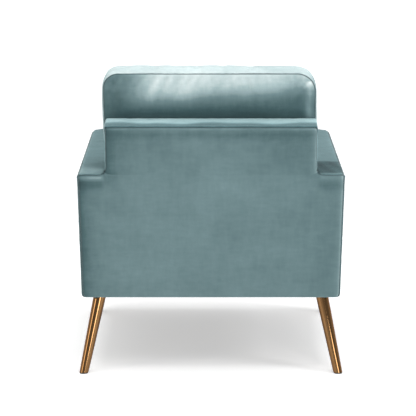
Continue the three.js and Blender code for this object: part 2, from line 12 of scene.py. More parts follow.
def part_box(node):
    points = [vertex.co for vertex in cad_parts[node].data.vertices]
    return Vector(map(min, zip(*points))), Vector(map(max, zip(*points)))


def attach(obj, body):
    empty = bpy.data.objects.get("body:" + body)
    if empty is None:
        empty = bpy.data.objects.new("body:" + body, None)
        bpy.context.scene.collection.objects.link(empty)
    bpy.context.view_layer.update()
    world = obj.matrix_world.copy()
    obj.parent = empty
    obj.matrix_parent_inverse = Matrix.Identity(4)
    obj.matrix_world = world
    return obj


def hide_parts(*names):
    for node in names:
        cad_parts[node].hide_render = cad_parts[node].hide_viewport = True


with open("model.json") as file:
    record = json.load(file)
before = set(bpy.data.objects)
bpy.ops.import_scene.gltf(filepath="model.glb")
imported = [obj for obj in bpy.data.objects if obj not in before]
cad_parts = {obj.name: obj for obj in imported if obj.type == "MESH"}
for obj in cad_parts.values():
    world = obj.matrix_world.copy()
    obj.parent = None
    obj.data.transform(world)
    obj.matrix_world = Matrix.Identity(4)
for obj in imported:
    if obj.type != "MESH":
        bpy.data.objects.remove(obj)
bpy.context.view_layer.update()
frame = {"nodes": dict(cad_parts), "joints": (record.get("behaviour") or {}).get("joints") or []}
nodes = frame["nodes"]
axis_of = {j["name"]: Vector(j["axis"]) for j in frame["joints"]}

# ---- Sizes in metres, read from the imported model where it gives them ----
SKIN = 0.0025  # the model's upholstery fabric
BACK_THICK = 0.092
DECK_FRONT = 0.305  # height of the sprung deck's front edge
PLATE_HALF = 0.029  # half the side of a leg's square plate
PLATE_THICK = 0.003
SCREW_OFFSET = 0.0205  # from the plate's middle to each screw, both ways
SIDES = (("left", 1), ("right", -1))
arm_low, arm_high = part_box("left_arm_outside_cover")
inner_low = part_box("left_arm_inside_cover")[0]
outer_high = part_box("back_outside_cover")[1]
RAKE = math.atan2(axis_of["back_cushion_lift"].y, axis_of["back_cushion_lift"].z)
SLOPE = math.atan2(axis_of["seat_cushion_pull"].z, -axis_of["seat_cushion_pull"].y)
HALF = arm_high.x
ARM_IN = inner_low.x
ARM_TOP = arm_high.z
BASE = arm_low.z
TAPER = HALF - SKIN - arm_low.x
FRONT_Y = arm_low.y
BACK_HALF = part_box("back_inside_cover")[1].x
BACK_HEIGHT = (outer_high.z - ARM_TOP - SKIN * math.sin(RAKE)) / math.cos(RAKE)
REAR_Y = outer_high.y - BACK_HEIGHT * math.sin(RAKE)
TOUCH = 1e-6  # nearer than this counts as touching
BACK_FOOT = (BASE - ARM_TOP) / math.cos(RAKE)

# ---- Local frames ----
BACK_FRAME = Matrix.Translation((0, REAR_Y, ARM_TOP)) @ Matrix.Rotation(-RAKE, 4, "X")
SEAT_FRAME = Matrix.Translation((0, FRONT_Y, DECK_FRONT)) @ Matrix.Rotation(-SLOPE, 4, "X")


def moved(matrix, points):
    """The points, carried by the matrix."""
    m = np.array(matrix)
    return points @ m[:3, :3].T + m[:3, 3]


def turned(matrix, vectors):
    """The directions, turned by the matrix."""
    return vectors @ np.array(matrix)[:3, :3].T


def stack(x, y, z):
    """Points from their three coordinates, each an array or one number for all."""
    return np.stack(np.broadcast_arrays(x, y, z), axis=-1).astype(float)


def unit(value):
    """value, held between 0 and 1."""
    return np.clip(value, 0, 1)


def smooth(share):
    """A share of 0 to 1, eased in and out."""
    return share * share * (3 - 2 * share)


def hill(value, at, width):
    """A smooth hill of height 1 over the value "at"."""
    return np.exp(-(((value - at) / width) ** 2))


def fade(distance, reach):
    """1 at no distance, dying away over the reach."""
    return np.exp(-distance / reach)


# ---- Node material helpers ----
class Nodes:
    """A material's node tree, with short calls to add and join nodes."""

    def __init__(self, name):
        self.material = bpy.data.materials.new(name)
        self.material.use_nodes = True
        self.tree = self.material.node_tree
        self.shader = self.tree.nodes["Principled BSDF"]
        self.place = self.add("ShaderNodeTexCoord").outputs["Object"]

    def add(self, kind, **settings):
        node = self.tree.nodes.new(kind)
        for key, value in settings.items():
            setattr(node, key, value)
        return node

    def put(self, value, socket):
        if isinstance(value, bpy.types.NodeSocket):
            self.tree.links.new(value, socket)
        else:
            socket.default_value = value

    def math(self, operation, a, b=0.0, c=0.0):
        node = self.add("ShaderNodeMath", operation=operation)
        for value, socket in zip((a, b, c), node.inputs):
            self.put(value, socket)
        return node.outputs[0]

    def stretched(self, scale, source=None):
        node = self.add("ShaderNodeMapping")
        self.put(source or self.place, node.inputs["Vector"])
        node.inputs["Scale"].default_value = scale
        return node.outputs[0]

    def noise(self, scale, detail=4.0, rough=0.5, vector=None, distortion=0.0):
        node = self.add("ShaderNodeTexNoise")
        self.put(vector or self.place, node.inputs["Vector"])
        node.inputs["Scale"].default_value = scale
        node.inputs["Detail"].default_value = detail
        node.inputs["Roughness"].default_value = rough
        node.inputs["Distortion"].default_value = distortion
        return node.outputs["Fac"]

    def ramp(self, value, low, high, out_low=0.0, out_high=1.0):
        node = self.add("ShaderNodeMapRange", clamp=True)
        for v, socket in zip((value, low, high, out_low, out_high), node.inputs):
            self.put(v, socket)
        return node.outputs[0]

    def blend(self, share, a, b, mode="MIX"):
        node = self.add("ShaderNodeMix", data_type="RGBA", blend_type=mode)
        self.put(share, node.inputs[0])
        self.put(a, node.inputs[6])
        self.put(b, node.inputs[7])
        return node.outputs[2]

    def attribute(self, name):
        return self.add("ShaderNodeAttribute", attribute_name=name).outputs["Fac"]

    def bump(self, height, distance, strength=1.0, below=None):
        node = self.add("ShaderNodeBump")
        node.inputs["Strength"].default_value = strength
        node.inputs["Distance"].default_value = distance
        self.put(height, node.inputs["Height"])
        if below:
            self.put(below, node.inputs["Normal"])
        return node.outputs[0]

    def finish(self, color, rough, normal=None, metal=0.0, **fixed):
        self.put(color, self.shader.inputs["Base Color"])
        self.put(rough, self.shader.inputs["Roughness"])
        self.shader.inputs["Metallic"].default_value = metal
        if normal:
            self.put(normal, self.shader.inputs["Normal"])
        for key, value in fixed.items():
            self.shader.inputs[key.replace("_", " ")].default_value = value
        return self.material


def set_stops(ramp, stops):
    """Gives a colour ramp its stops, each a position and a colour."""
    elements = ramp.color_ramp.elements
    while len(elements) < len(stops):
        elements.new(0.5)
    for element, (position, color) in zip(elements, stops):
        element.position = position
        element.color = color


def srgb(red, green, blue):
    """A display colour of 0 to 255 as linear light."""
    return tuple((v / 255) ** 2.2 for v in (red, green, blue)) + (1.0,)


# ---- Materials ----
def velvet(name, share=0.5, sheen=0.4, painted_tint=(255, 255, 255)):
    """Short-pile velvet, whose lightness holds painted light and shade.

    share is the mean lightness from 0 to 1 and tint a colour laid over it, both set per piece as painted
    light and shade.
    A point attribute of the mesh adds painted highlights and painted shade, and "seam" is the distance to the
    nearest sewn line, where the colour darkens as painted shade in its groove.
    """
    n = Nodes(name)
    brushed = n.noise(9.0, 3, 0.5, n.stretched((0.9, 0.9, 1.2)), 0.4)
    streaks = n.noise(70.0, 4, 0.6, n.stretched((0.4, 1.0, 1.3)))
    upright = n.noise(46.0, 5, 0.65, n.stretched((1.3, 1.0, 0.35)))
    pile = n.noise(1500.0, 2, 0.7)
    level = share
    for pattern, strength in ((brushed, 0.20), (streaks, 0.11), (upright, 0.13)):
        level = n.math("MULTIPLY_ADD", n.math("SUBTRACT", pattern, 0.5), strength, level)
    # painted highlights and painted shade from the mesh's point attribute, added to the lightness
    level = n.math("ADD", level, n.attribute("painted_shading"))
    ramp = n.add("ShaderNodeValToRGB")
    n.put(level, ramp.inputs[0])
    set_stops(ramp, (
        (0.0, srgb(42, 60, 63)), (0.25, srgb(70, 92, 95)), (0.5, srgb(103, 125, 128)),
        (0.72, srgb(148, 168, 170)), (1.0, srgb(214, 225, 225)),
    ))
    fleck = n.ramp(pile, 0.3, 0.7, 0.0, 0.16)
    color = n.blend(1.0, ramp.outputs[0], srgb(*painted_tint), "MULTIPLY")
    color = n.blend(fleck, color, srgb(48, 68, 72))
    # painted shade: the colour darkens towards each seam, as in the shade of its groove
    seam = n.ramp(n.attribute("seam"), 0.0008, 0.0040)
    color = n.blend(n.math("MULTIPLY", n.math("SUBTRACT", 1.0, seam), 0.85), color, srgb(34, 52, 56))
    weave = n.bump(pile, 0.0006, 0.5)
    nudge = n.bump(streaks, 0.0016, 0.35, weave)
    groove = n.bump(seam, 0.0012, 0.7, nudge)
    rough = n.ramp(brushed, 0.3, 0.7, 0.70, 0.86)
    return n.finish(
        color, rough, groove, Sheen_Weight=sheen, Sheen_Roughness=0.38,
        Sheen_Tint=(0.78, 0.92, 0.94, 1.0), Specular_IOR_Level=0.15,
    )


def satin_brass():
    """Brass-coloured metal, faintly brushed along its height, under a thin clear coat."""
    n = Nodes("satin_brass")
    brushed = n.noise(900.0, 3, 0.6, n.stretched((1.0, 1.0, 0.05)))
    clouds = n.noise(9.0, 3)
    color = n.blend(clouds, srgb(118, 86, 52), srgb(133, 99, 62))
    rough = n.ramp(brushed, 0.3, 0.7, 0.05, 0.10)
    edge = (0.30, 0.18, 0.09, 1.0)
    return n.finish(
        color, rough, n.bump(brushed, 0.0001, 0.08), 1.0,
        Specular_Tint=edge, Coat_Weight=0.35, Coat_Roughness=0.08,
    )


def steel(name, tone=0.62):
    """Brushed grey metal of the given lightness."""
    n = Nodes(name)
    fine = n.noise(700.0, 3)
    color = n.blend(fine, (tone, tone, tone, 1), (tone * 0.75, tone * 0.75, tone * 0.78, 1))
    return n.finish(color, n.ramp(fine, 0.3, 0.7, 0.25, 0.42), n.bump(fine, 0.0002, 0.15), 1.0)


def sawn_wood(name, stretch):
    """Pale hardwood whose grain runs along the axis with the smallest stretch."""
    n = Nodes(name)
    grain = n.noise(22.0, 6, 0.62, n.stretched(stretch), 0.8)
    pores = n.noise(380.0, 3, 0.6, n.stretched(stretch))
    color = n.blend(n.ramp(grain, 0.32, 0.68), srgb(214, 182, 132), srgb(168, 127, 80))
    color = n.blend(n.ramp(pores, 0.55, 0.75, 0.0, 0.4), color, srgb(120, 86, 52))
    return n.finish(color, 0.72, n.bump(pores, 0.0006, 0.4), Specular_IOR_Level=0.3)


def open_foam():
    n = Nodes("open_foam")
    cells = n.add("ShaderNodeTexVoronoi")
    n.put(n.place, cells.inputs["Vector"])
    cells.inputs["Scale"].default_value = 650.0
    tone = n.noise(7.0, 3)
    color = n.blend(tone, srgb(240, 230, 200), srgb(228, 212, 172))
    # painted shade: darker in the pits of the cells
    color = n.blend(n.ramp(cells.outputs["Distance"], 0.0, 0.5, 0.35, 0.0), color, srgb(170, 152, 116))
    return n.finish(color, 0.95, n.bump(cells.outputs["Distance"], 0.001, 0.5))


def woven(name, thread, gap_shade, size=0.0016):
    """Plain weave of two thread directions, over X and Z."""
    n = Nodes(name)
    scale = 2 * math.pi / size
    split = n.add("ShaderNodeSeparateXYZ")
    n.put(n.place, split.inputs[0])
    across = n.math("SINE", n.math("MULTIPLY", split.outputs["X"], scale))
    up = n.math("ADD", split.outputs["Z"], split.outputs["Y"])
    along = n.math("SINE", n.math("MULTIPLY", up, scale))
    cross = n.ramp(n.math("MULTIPLY", across, along), -0.6, 0.6)
    wear = n.noise(30.0, 3)
    # painted shade: the gaps between the threads take the darker colour
    color = n.blend(cross, gap_shade, thread)
    color = n.blend(n.ramp(wear, 0.4, 0.8, 0.0, 0.25), color, thread)
    return n.finish(color, 0.88, n.bump(cross, 0.0004, 0.6))


def felted(name, tone, fleck):
    """Pressed fibres: dust cloth, fibre board."""
    n = Nodes(name)
    fibres = n.noise(420.0, 5, 0.7, n.stretched((1.0, 0.4, 1.0)), 1.5)
    clouds = n.noise(14.0, 3)
    color = n.blend(n.ramp(fibres, 0.45, 0.7), tone, fleck)
    color = n.blend(n.ramp(clouds, 0.3, 0.8, 0.0, 0.3), color, tone)
    return n.finish(color, 0.93, n.bump(fibres, 0.0006, 0.4))


def moulded_nylon():
    n = Nodes("moulded_nylon")
    fine = n.noise(800.0, 2)
    scuffs = n.noise(60.0, 5, 0.7)
    color = n.blend(n.ramp(scuffs, 0.55, 0.75, 0.0, 0.5), srgb(26, 26, 28), srgb(62, 61, 60))
    return n.finish(color, n.ramp(scuffs, 0.3, 0.8, 0.45, 0.7), n.bump(fine, 0.0003, 0.3))


# One velvet in lit and shaded copies: each piece's share, tint and sheen paint how the light falls on it, the
# arms darker and the cushions lighter than the body.
VELVET = {
    "body": velvet("velvet_body", share=0.455),
    "band": velvet("velvet_band", share=0.47, painted_tint=(232, 252, 255)),
    "arm": velvet("velvet_arm", share=0.45, sheen=0.15, painted_tint=(246, 254, 255)),
    "cushion": velvet("velvet_cushion", share=0.52, sheen=0.5),
    "seat": velvet("velvet_seat", share=0.55),
}
BRASS = satin_brass()
STEEL = steel("screw_steel")
SPRING_STEEL = steel("spring_steel", 0.45)
NICKEL = steel("zip_nickel", 0.7)
FOAM = open_foam()
NYLON = moulded_nylon()
WEBBING = woven("woven_webbing", srgb(66, 68, 72), srgb(24, 25, 27))
ZIP_TAPE = woven("zip_tape", srgb(96, 122, 125), srgb(54, 72, 75), 0.001)
DECK_CLOTH = woven("deck_cloth", srgb(58, 60, 64), srgb(30, 31, 34), 0.0013)
DUST_CLOTH = felted("dust_cloth", srgb(30, 31, 33), srgb(54, 55, 58))
BOARD = felted("fibre_board", srgb(150, 124, 88), srgb(112, 88, 58))
WOOD_X = sawn_wood("hardwood_across", (0.06, 1.0, 1.0))
WOOD_Y = sawn_wood("hardwood_along", (1.0, 0.06, 1.0))
WOOD_Z = sawn_wood("hardwood_upright", (1.0, 1.0, 0.06))


# ---- Mesh helpers ----
def new_object(name, data):
    obj = bpy.data.objects.new(name, data)
    bpy.context.scene.collection.objects.link(obj)
    return obj


def make_object(name, points, faces, material, attributes=None, thick=0.0, shade_smooth=True):
    """A mesh with its values per point. Its thickness, if any, goes inwards from the points."""
    mesh = bpy.data.meshes.new(name)
    mesh.from_pydata([tuple(p) for p in points], [], faces)
    mesh.validate()
    for key, values in (attributes or {}).items():
        layer = mesh.attributes.new(key, "FLOAT", "POINT")
        layer.data.foreach_set("value", np.asarray(values, np.float32))
    mesh.polygons.foreach_set("use_smooth", [shade_smooth] * len(mesh.polygons))
    mesh.materials.append(material)
    obj = new_object(name, mesh)
    if thick:
        shell = obj.modifiers.new("shell", "SOLIDIFY")
        shell.thickness = thick
        shell.offset = -1
    return obj


def dress(obj, body, replaced=()):
    """Fixes the piece to its body, and hides the CAD nodes it stands for."""
    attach(obj, body)
    if replaced:
        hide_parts(*replaced)
    return obj


def waves(points, count, shortest, longest, seed):
    """Smooth repeatable unevenness of about -1 to 1 over points of two or three coordinates."""
    random = np.random.default_rng(seed)
    total = np.zeros(len(points))
    for _ in range(count):
        way = random.normal(size=points.shape[1])
        way /= np.linalg.norm(way)
        length = math.exp(random.uniform(math.log(shortest), math.log(longest)))
        total += np.sin(points @ way * 2 * math.pi / length + random.uniform(0, 2 * math.pi))
    return total / math.sqrt(count)


def gathers(along, away, seed, slant=0.5):
    """Small folds that fan out from a seam and fade: place along the seam, distance away from it."""
    random = np.random.default_rng(seed)
    total = np.zeros(len(along))
    for length in (0.009, 0.013, 0.019, 0.027, 0.041, 0.063):
        lean = random.uniform(-slant, slant)
        phase = random.uniform(0, 2 * math.pi)
        total += np.sin((along + lean * away) * 2 * math.pi / length + phase) * (length / 0.03) ** 0.5
    patchy = 0.5 + 0.5 * np.sin(along * 2 * math.pi / 0.21 + random.uniform(0, 2 * math.pi))
    return total / 3 * (0.35 + 0.65 * patchy)


def strokes(u, v, marks):
    """Raised strokes. Each mark is a start, a direction in degrees, a length, a width and a height."""
    total = np.zeros(len(u))
    for at_u, at_v, direction, length, width, height in marks:
        c, s = math.cos(math.radians(direction)), math.sin(math.radians(direction))
        along = (u - at_u) * c + (v - at_v) * s
        across = (v - at_v) * c - (u - at_u) * s
        t = unit(along / length)
        total += height * hill(across, 0, width * (0.6 + 0.8 * t)) * np.sin(np.pi * np.sqrt(t))
    return total


def grid_lines(breaks, spacing):
    """Lines between the breaks, close together near each of them."""
    near = np.array([0.0006, 0.0014, 0.0024, 0.0036, 0.005, 0.0068, 0.009, 0.012])
    lines = []
    for low, high in zip(breaks[:-1], breaks[1:]):
        room = near[near < (high - low) / 2]
        reach = room[-1] if len(room) else 0.0
        count = max(1, round((high - low - 2 * reach) / spacing))
        lines += [low, *(low + room), *np.linspace(low + reach, high - reach, count + 1)[1:-1]]
        lines += list((high - room)[::-1])
    return np.unique(np.round(np.array(lines + [breaks[-1]]), 7))


def grid_of(xs, ys):
    """Points over a rectangle, as columns along x of rows along y."""
    return np.stack(np.meshgrid(xs, ys, indexing="ij"), axis=-1).reshape(-1, 2)


def grid_quads(columns, rows):
    """The faces between such a grid's points."""
    return [
        (i * rows + j, (i + 1) * rows + j, (i + 1) * rows + j + 1, i * rows + j + 1)
        for i in range(columns - 1)
        for j in range(rows - 1)
    ]


def rectangle(left, low, right, high):
    """The corners of a panel's outline."""
    return [(left, low), (right, low), (right, high), (left, high)]


def inside_outline(points, corners):
    """Which points the outline holds, by the even-odd rule."""
    result = np.zeros(len(points), bool)
    for a, b in zip(corners, np.roll(corners, -1, axis=0)):
        crosses = (a[1] > points[:, 1]) != (b[1] > points[:, 1])
        with np.errstate(divide="ignore", invalid="ignore"):
            at = a[0] + (points[:, 1] - a[1]) * (b[0] - a[0]) / (b[1] - a[1])
        result ^= crosses & (points[:, 0] < at)
    return result


def edge_terms(points, corners):
    """For each edge of the outline: every point's distance to it, the way from it, its place along it.

    The last term is a half where the nearest point is the edge's end, which two edges share.
    """
    terms = []
    for a, b in zip(corners, np.roll(corners, -1, axis=0)):
        length = np.linalg.norm(b - a)
        along = (b - a) / length
        inward = np.array([-along[1], along[0]])
        t = np.clip((points - a) @ along, 0, length)
        away = points - (a + t[:, None] * along)
        distance = np.linalg.norm(away, axis=1)
        way = np.where(distance[:, None] > 1e-7, away / np.maximum(distance, 1e-7)[:, None], inward)
        share = np.where((t <= 0) | (t >= length), 0.5, 1.0)
        terms.append((distance, way, t, share))
    return terms


def round_corner(points, corner, radius, middle):
    """Moves the grid's points near an outline's corner so that the corner becomes an arc."""
    sign = np.sign(np.array(corner) - middle)
    centre = np.array(corner) - sign * radius
    offset = (points - centre) * sign
    near = (offset > 0).all(axis=1)
    size = np.hypot(offset[near, 0], offset[near, 1])
    points[near] = centre + sign * offset[near] * (offset[near].max(axis=1) / size)[:, None]


# An edge's style: roll radius, how far it turns, depth of the seam's crease.
SEAM = (0.0100, math.radians(45), 0.0010)
HEM = (0.008, math.radians(90), 0.0)
TUCK = (0.004, math.radians(85), 0.0)
OPEN = None
PANEL_SPACING = 0.009  # between a panel's grid lines, away from its edges
PANEL_THICK = 0.0014
CREASE_WIDTH = 0.0012  # of a panel's seam


def panel(
    name, corners, styles, place, material, replaced, seed,
    crown=0.0018, fold=0.00035, us=(), rounded=(), fillets=(), marks=(), painted_shading=None, soften=None, hem=0.014,
):
    """An upholstered panel: a fine sheet over the outline, rolled and creased at its sewn edges.

    place(u, v) gives points and outward normals. Corners run anticlockwise seen from outside.
    crown is how much the middle stands proud, and fold the height of the seams' small folds.
    """
    corners = np.array(corners, float)
    us = grid_lines(sorted({*corners[:, 0], *us}), PANEL_SPACING)
    vs = grid_lines(sorted({*corners[:, 1]}), PANEL_SPACING)
    flat = grid_of(us, vs)
    kept = inside_outline(grid_of((us[1:] + us[:-1]) / 2, (vs[1:] + vs[:-1]) / 2), corners)
    quads = [quad for quad, inside in zip(grid_quads(len(us), len(vs)), kept) if inside]

    shift = np.zeros_like(flat)
    depth = np.zeros(len(flat))
    relief = np.zeros(len(flat))
    seam = np.full(len(flat), 1.0)
    nearest = np.full(len(flat), 1.0)
    for k, ((distance, way, along, share), style) in enumerate(zip(edge_terms(flat, corners), styles)):
        nearest = np.minimum(nearest, distance)
        if style is OPEN:
            continue
        radius, turn, crease = style
        angle = turn * unit(1 - distance / radius)
        pull = crease * hill(distance, 0, CREASE_WIDTH) / math.sqrt(2)
        moved_to = np.where(distance < radius, radius * (1 - np.sin(angle)), distance) + pull
        share = np.where(distance < TOUCH, 1.0, share)
        shift += way * ((moved_to - distance) * share)[:, None]
        depth = np.hypot(depth, (radius * (1 - np.cos(angle)) + pull) * np.sqrt(share))
        if crease:
            seam = np.minimum(seam, distance)
            relief += 0.0004 * hill(distance, 0.006, 0.0025)
            folds = gathers(along, distance, seed * 17 + k)
            relief += fold * folds * fade(distance, 0.022) * unit(distance / 0.004)
    relief += crown * (1 - fade(nearest, 0.04))
    relief += 0.00035 * waves(flat, 7, 0.05, 0.25, seed) * unit(nearest / 0.03)
    relief += strokes(flat[:, 0], flat[:, 1], marks)
    # painted light and shade, carried to the velvet as a point attribute
    shade = painted_shading(flat[:, 0], flat[:, 1]) if painted_shading else np.zeros(len(flat))

    bent = flat + shift
    middle = (corners.min(axis=0) + corners.max(axis=0)) / 2
    for corner, radius in rounded:
        round_corner(bent, corner, radius, middle)
    for corner, way, radius in fillets:
        away = np.linalg.norm(flat - np.array(corner), axis=1)
        push = 0.414 * radius * unit(1 - away / radius) ** 2
        bent += push[:, None] * np.array(way) / math.sqrt(2)
    points, normals = place(bent[:, 0], bent[:, 1])
    points = points + normals * (relief - depth)[:, None]
    if soften:
        points = soften(points)

    used = np.unique(np.array(quads))
    renumber = {old: new for new, old in enumerate(used)}
    points, normals = points[used], normals[used]
    seam, shade, flat = seam[used], shade[used], flat[used]
    quads = [tuple(renumber[i] for i in q) for q in quads]
    first = np.array([points[i] for i in quads[0]])
    if np.dot(np.cross(first[1] - first[0], first[2] - first[0]), normals[quads[0][0]]) < 0:
        quads = [q[::-1] for q in quads]
    obj = make_object(name, points, quads, material, {"seam": seam, "painted_shading": shade}, PANEL_THICK)
    add_hems(obj, corners, styles, flat, normals, hem)
    dress(obj, "chair_frame", [replaced])


def extruded(mesh, edges):
    """The new points from drawing these edges out."""
    made = bmesh.ops.extrude_edge_only(mesh, edges=edges)["geom"]
    return [g for g in made if isinstance(g, bmesh.types.BMVert)]


def add_hems(obj, corners, styles, flat, normals, width):
    """Carries the sheet on round each hemmed edge, into the body."""
    on_hem = np.zeros(len(flat), bool)
    for (distance, _, _, _), style in zip(edge_terms(flat, corners), styles):
        if style is HEM:
            on_hem |= distance < TOUCH
    mesh = bmesh.new()
    mesh.from_mesh(obj.data)
    mesh.verts.ensure_lookup_table()
    edges = [e for e in mesh.edges if e.is_boundary and all(on_hem[v.index] for v in e.verts)]
    if edges:
        before = {tuple(v.co): v.index for e in edges for v in e.verts}
        for v in extruded(mesh, edges):
            v.co -= Vector(normals[before[tuple(v.co)]] * width)
        for f in mesh.faces:
            f.smooth = True
        bmesh.ops.recalc_face_normals(mesh, faces=mesh.faces)
    mesh.to_mesh(obj.data)
    mesh.free()


ARC_POINTS = 25  # on each arc of a path


class Path:
    """A line of straight runs joined by arcs in a plane, with its length as the place along it."""

    def __init__(self, corners, radii):
        corners = [np.array(c, float) for c in corners]
        points = [corners[0]]
        self.breaks = []
        for k, radius in enumerate(radii, start=1):
            back = corners[k - 1] - corners[k]
            on = corners[k + 1] - corners[k]
            back /= np.linalg.norm(back)
            on /= np.linalg.norm(on)
            start = corners[k] + back * radius
            centre = start + on * radius
            for t in np.linspace(0, math.pi / 2, ARC_POINTS):
                points.append(centre - on * radius * math.cos(t) - back * radius * math.sin(t))
        points.append(corners[-1])
        points = np.array(points)
        steps = np.linalg.norm(np.diff(points, axis=0), axis=1)
        self.s = np.concatenate([[0], np.cumsum(steps)])
        self.points = points
        self.length = self.s[-1]
        ways = np.gradient(points, self.s, axis=0)
        ways /= np.linalg.norm(ways, axis=1)[:, None]
        self.normals = np.stack([-ways[:, 1], ways[:, 0]], axis=1)
        for k in range(len(radii)):
            first = 1 + ARC_POINTS * k
            last = first + ARC_POINTS - 1
            self.breaks += [self.s[first], self.s[(first + last) // 2], self.s[last]]

    def at(self, s):
        point = [np.interp(s, self.s, self.points[:, k]) for k in (0, 1)]
        normal = [np.interp(s, self.s, self.normals[:, k]) for k in (0, 1)]
        size = np.hypot(*normal)
        return point[0], point[1], normal[0] / size, normal[1] / size


# ---- Panels of the back ----
def back_points(x, y, z):
    return moved(BACK_FRAME, stack(x, y, z))


def back_way(x, y, z):
    return turned(BACK_FRAME, stack(x, y, z))


def side_scale(z_along_back):
    """How much narrower than at the arm tops the body is, down the back."""
    down = unit(z_along_back / BACK_FOOT)
    return 1 - TAPER / HALF * down


def add_back_panels():
    top, foot, neck = BACK_HEIGHT, BACK_FOOT, BACK_HALF
    outline = [
        (-HALF, foot), (HALF, foot), (HALF, 0), (neck, 0),
        (neck, top), (-neck, top), (-neck, 0), (-HALF, 0),
    ]
    styles = [HEM, SEAM, SEAM, SEAM, SEAM, SEAM, SEAM, SEAM]

    def on_rear(x, z):
        return back_points(x * side_scale(z), 0.0, z), back_way(x * 0, 1, 0)

    def painted_shading(x, z):
        """Painted light and shade: dark along the edges on the chair's left and lit along those on its right,
        as if lit from the right, darker towards the top, with painted highlights and shade under the top seam
        and beside the notches, and painted shade in a notch's corner.
        """
        upper = unit(z / 0.02 + 0.5)
        edge = np.where(z > 0, neck, HALF)
        to_left, to_right = np.abs(edge - x), np.abs(x + edge)
        shade = -0.24 * fade(to_left, 0.014) - 0.12 * fade(to_left, 0.07)
        shade -= 0.12 * fade(to_right, 0.14) + 0.05 * unit(z / 0.16 + 0.2)
        shade += 0.22 * hill(to_right, 0, 0.010) + 0.05 * fade(to_right, 0.03)
        beside = unit((np.abs(x) - neck) / 0.012) * (1 - upper)
        shade += 0.09 * beside * (x < 0) * hill(z, 0, 0.05)
        shade += 0.26 * beside * (x > 0) * hill(z, -0.009, 0.005)
        shade -= 0.16 * beside * hill(z, -0.028, 0.016)
        shade -= 0.08 * hill(top - z, 0.022, 0.012) * upper
        fading = 0.6 + 0.4 * np.sin(x * 17.0 + 0.6) * np.sin(x * 41.0)
        shade += 0.12 * fading * hill(top - z, 0.006, 0.003) * upper
        corner = np.hypot(x - neck + 0.012, z + 0.012)
        return shade - 0.12 * hill(corner, 0, 0.02)

    marks = [
        (neck, 0.0, -118, 0.060, 0.006, 0.0014), (neck, 0.0, -146, 0.075, 0.007, -0.0012),
        (neck, 0.0, -78, 0.045, 0.005, -0.0010), (neck + 0.012, -0.002, -60, 0.030, 0.004, 0.0010),
        (neck + 0.026, -0.002, -70, 0.026, 0.004, -0.0008), (neck + 0.038, -0.002, -95, 0.03, 0.005, 0.0008),
        (-neck, 0.0, -50, 0.060, 0.006, 0.0013), (-neck, 0.0, -88, 0.050, 0.006, -0.0011),
        (-neck, 0.0, -20, 0.070, 0.008, -0.0009), (-neck - 0.03, -0.002, -100, 0.035, 0.005, 0.0008),
    ]
    panel(
        "outside_back_panel", outline, styles, on_rear, VELVET["body"], "back_outside_cover",
        rounded=[((-HALF, foot), 0.013), ((HALF, foot), 0.013),
                 ((-neck, top), 0.009), ((neck, top), 0.009)],
        fillets=[((-neck, 0), (-1, 1), 0.022), ((neck, 0), (1, 1), 0.022)],
        marks=marks, painted_shading=painted_shading, seed=3, fold=0.0006, crown=0.0036,
    )

    band_foot = -0.030
    path = Path([(neck, band_foot), (neck, top), (-neck, top), (-neck, band_foot)], [0.006, 0.006])

    def band_painted_shading(s, depth):
        """Painted light: lighter along the top, most of all near the cushion, and evenly lighter on the
        sides.
        """
        below_top = path.points[:, 1].max() - np.interp(s, path.s, path.points[:, 1])
        on_sides = unit((below_top - 0.012) / 0.01)
        ripple = 0.006 * np.sin(s * 23.0) + 0.004 * np.sin(s * 51.0 + 1.0)
        light = 0.08 + 0.24 * np.tanh((depth - 0.034 + ripple) / 0.007)
        return light * (1 - on_sides) + 0.16 * on_sides

    def on_band(s, depth):
        x, z, nx, nz = path.at(s)
        return back_points(x, -depth, z), back_way(-nx, 0, -nz)

    panel(
        "back_band", rectangle(0, 0, path.length, BACK_THICK),
        [SEAM, OPEN, SEAM, OPEN], on_band, VELVET["band"], "back_band_cover",
        us=path.breaks, painted_shading=band_painted_shading, seed=5, fold=0.0006, crown=0.0015,
    )

    inside_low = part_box("back_inside_cover")[0].z + 0.001
    inside_foot = (inside_low - ARM_TOP - BACK_THICK * math.sin(RAKE)) / math.cos(RAKE)

    def on_front(x, z):
        return back_points(-x, -BACK_THICK, z), back_way(x * 0, -1, 0)

    panel(
        "inside_back_panel", rectangle(-neck, inside_foot, neck, top),
        [OPEN, SEAM, SEAM, SEAM], on_front, VELVET["body"], "back_inside_cover",
        rounded=[((-neck, top), 0.006), ((neck, top), 0.006)], seed=7, crown=0.0005,
    )


# ---- Panels of the arms and front ----
def rear_at(z):
    """Depth of the outside back at height z."""
    return REAR_Y + (z - ARM_TOP) * math.tan(RAKE)


def side_at(z):
    """How far out the arm's side is at height z."""
    return HALF - TAPER * (ARM_TOP - z) / (ARM_TOP - BASE)


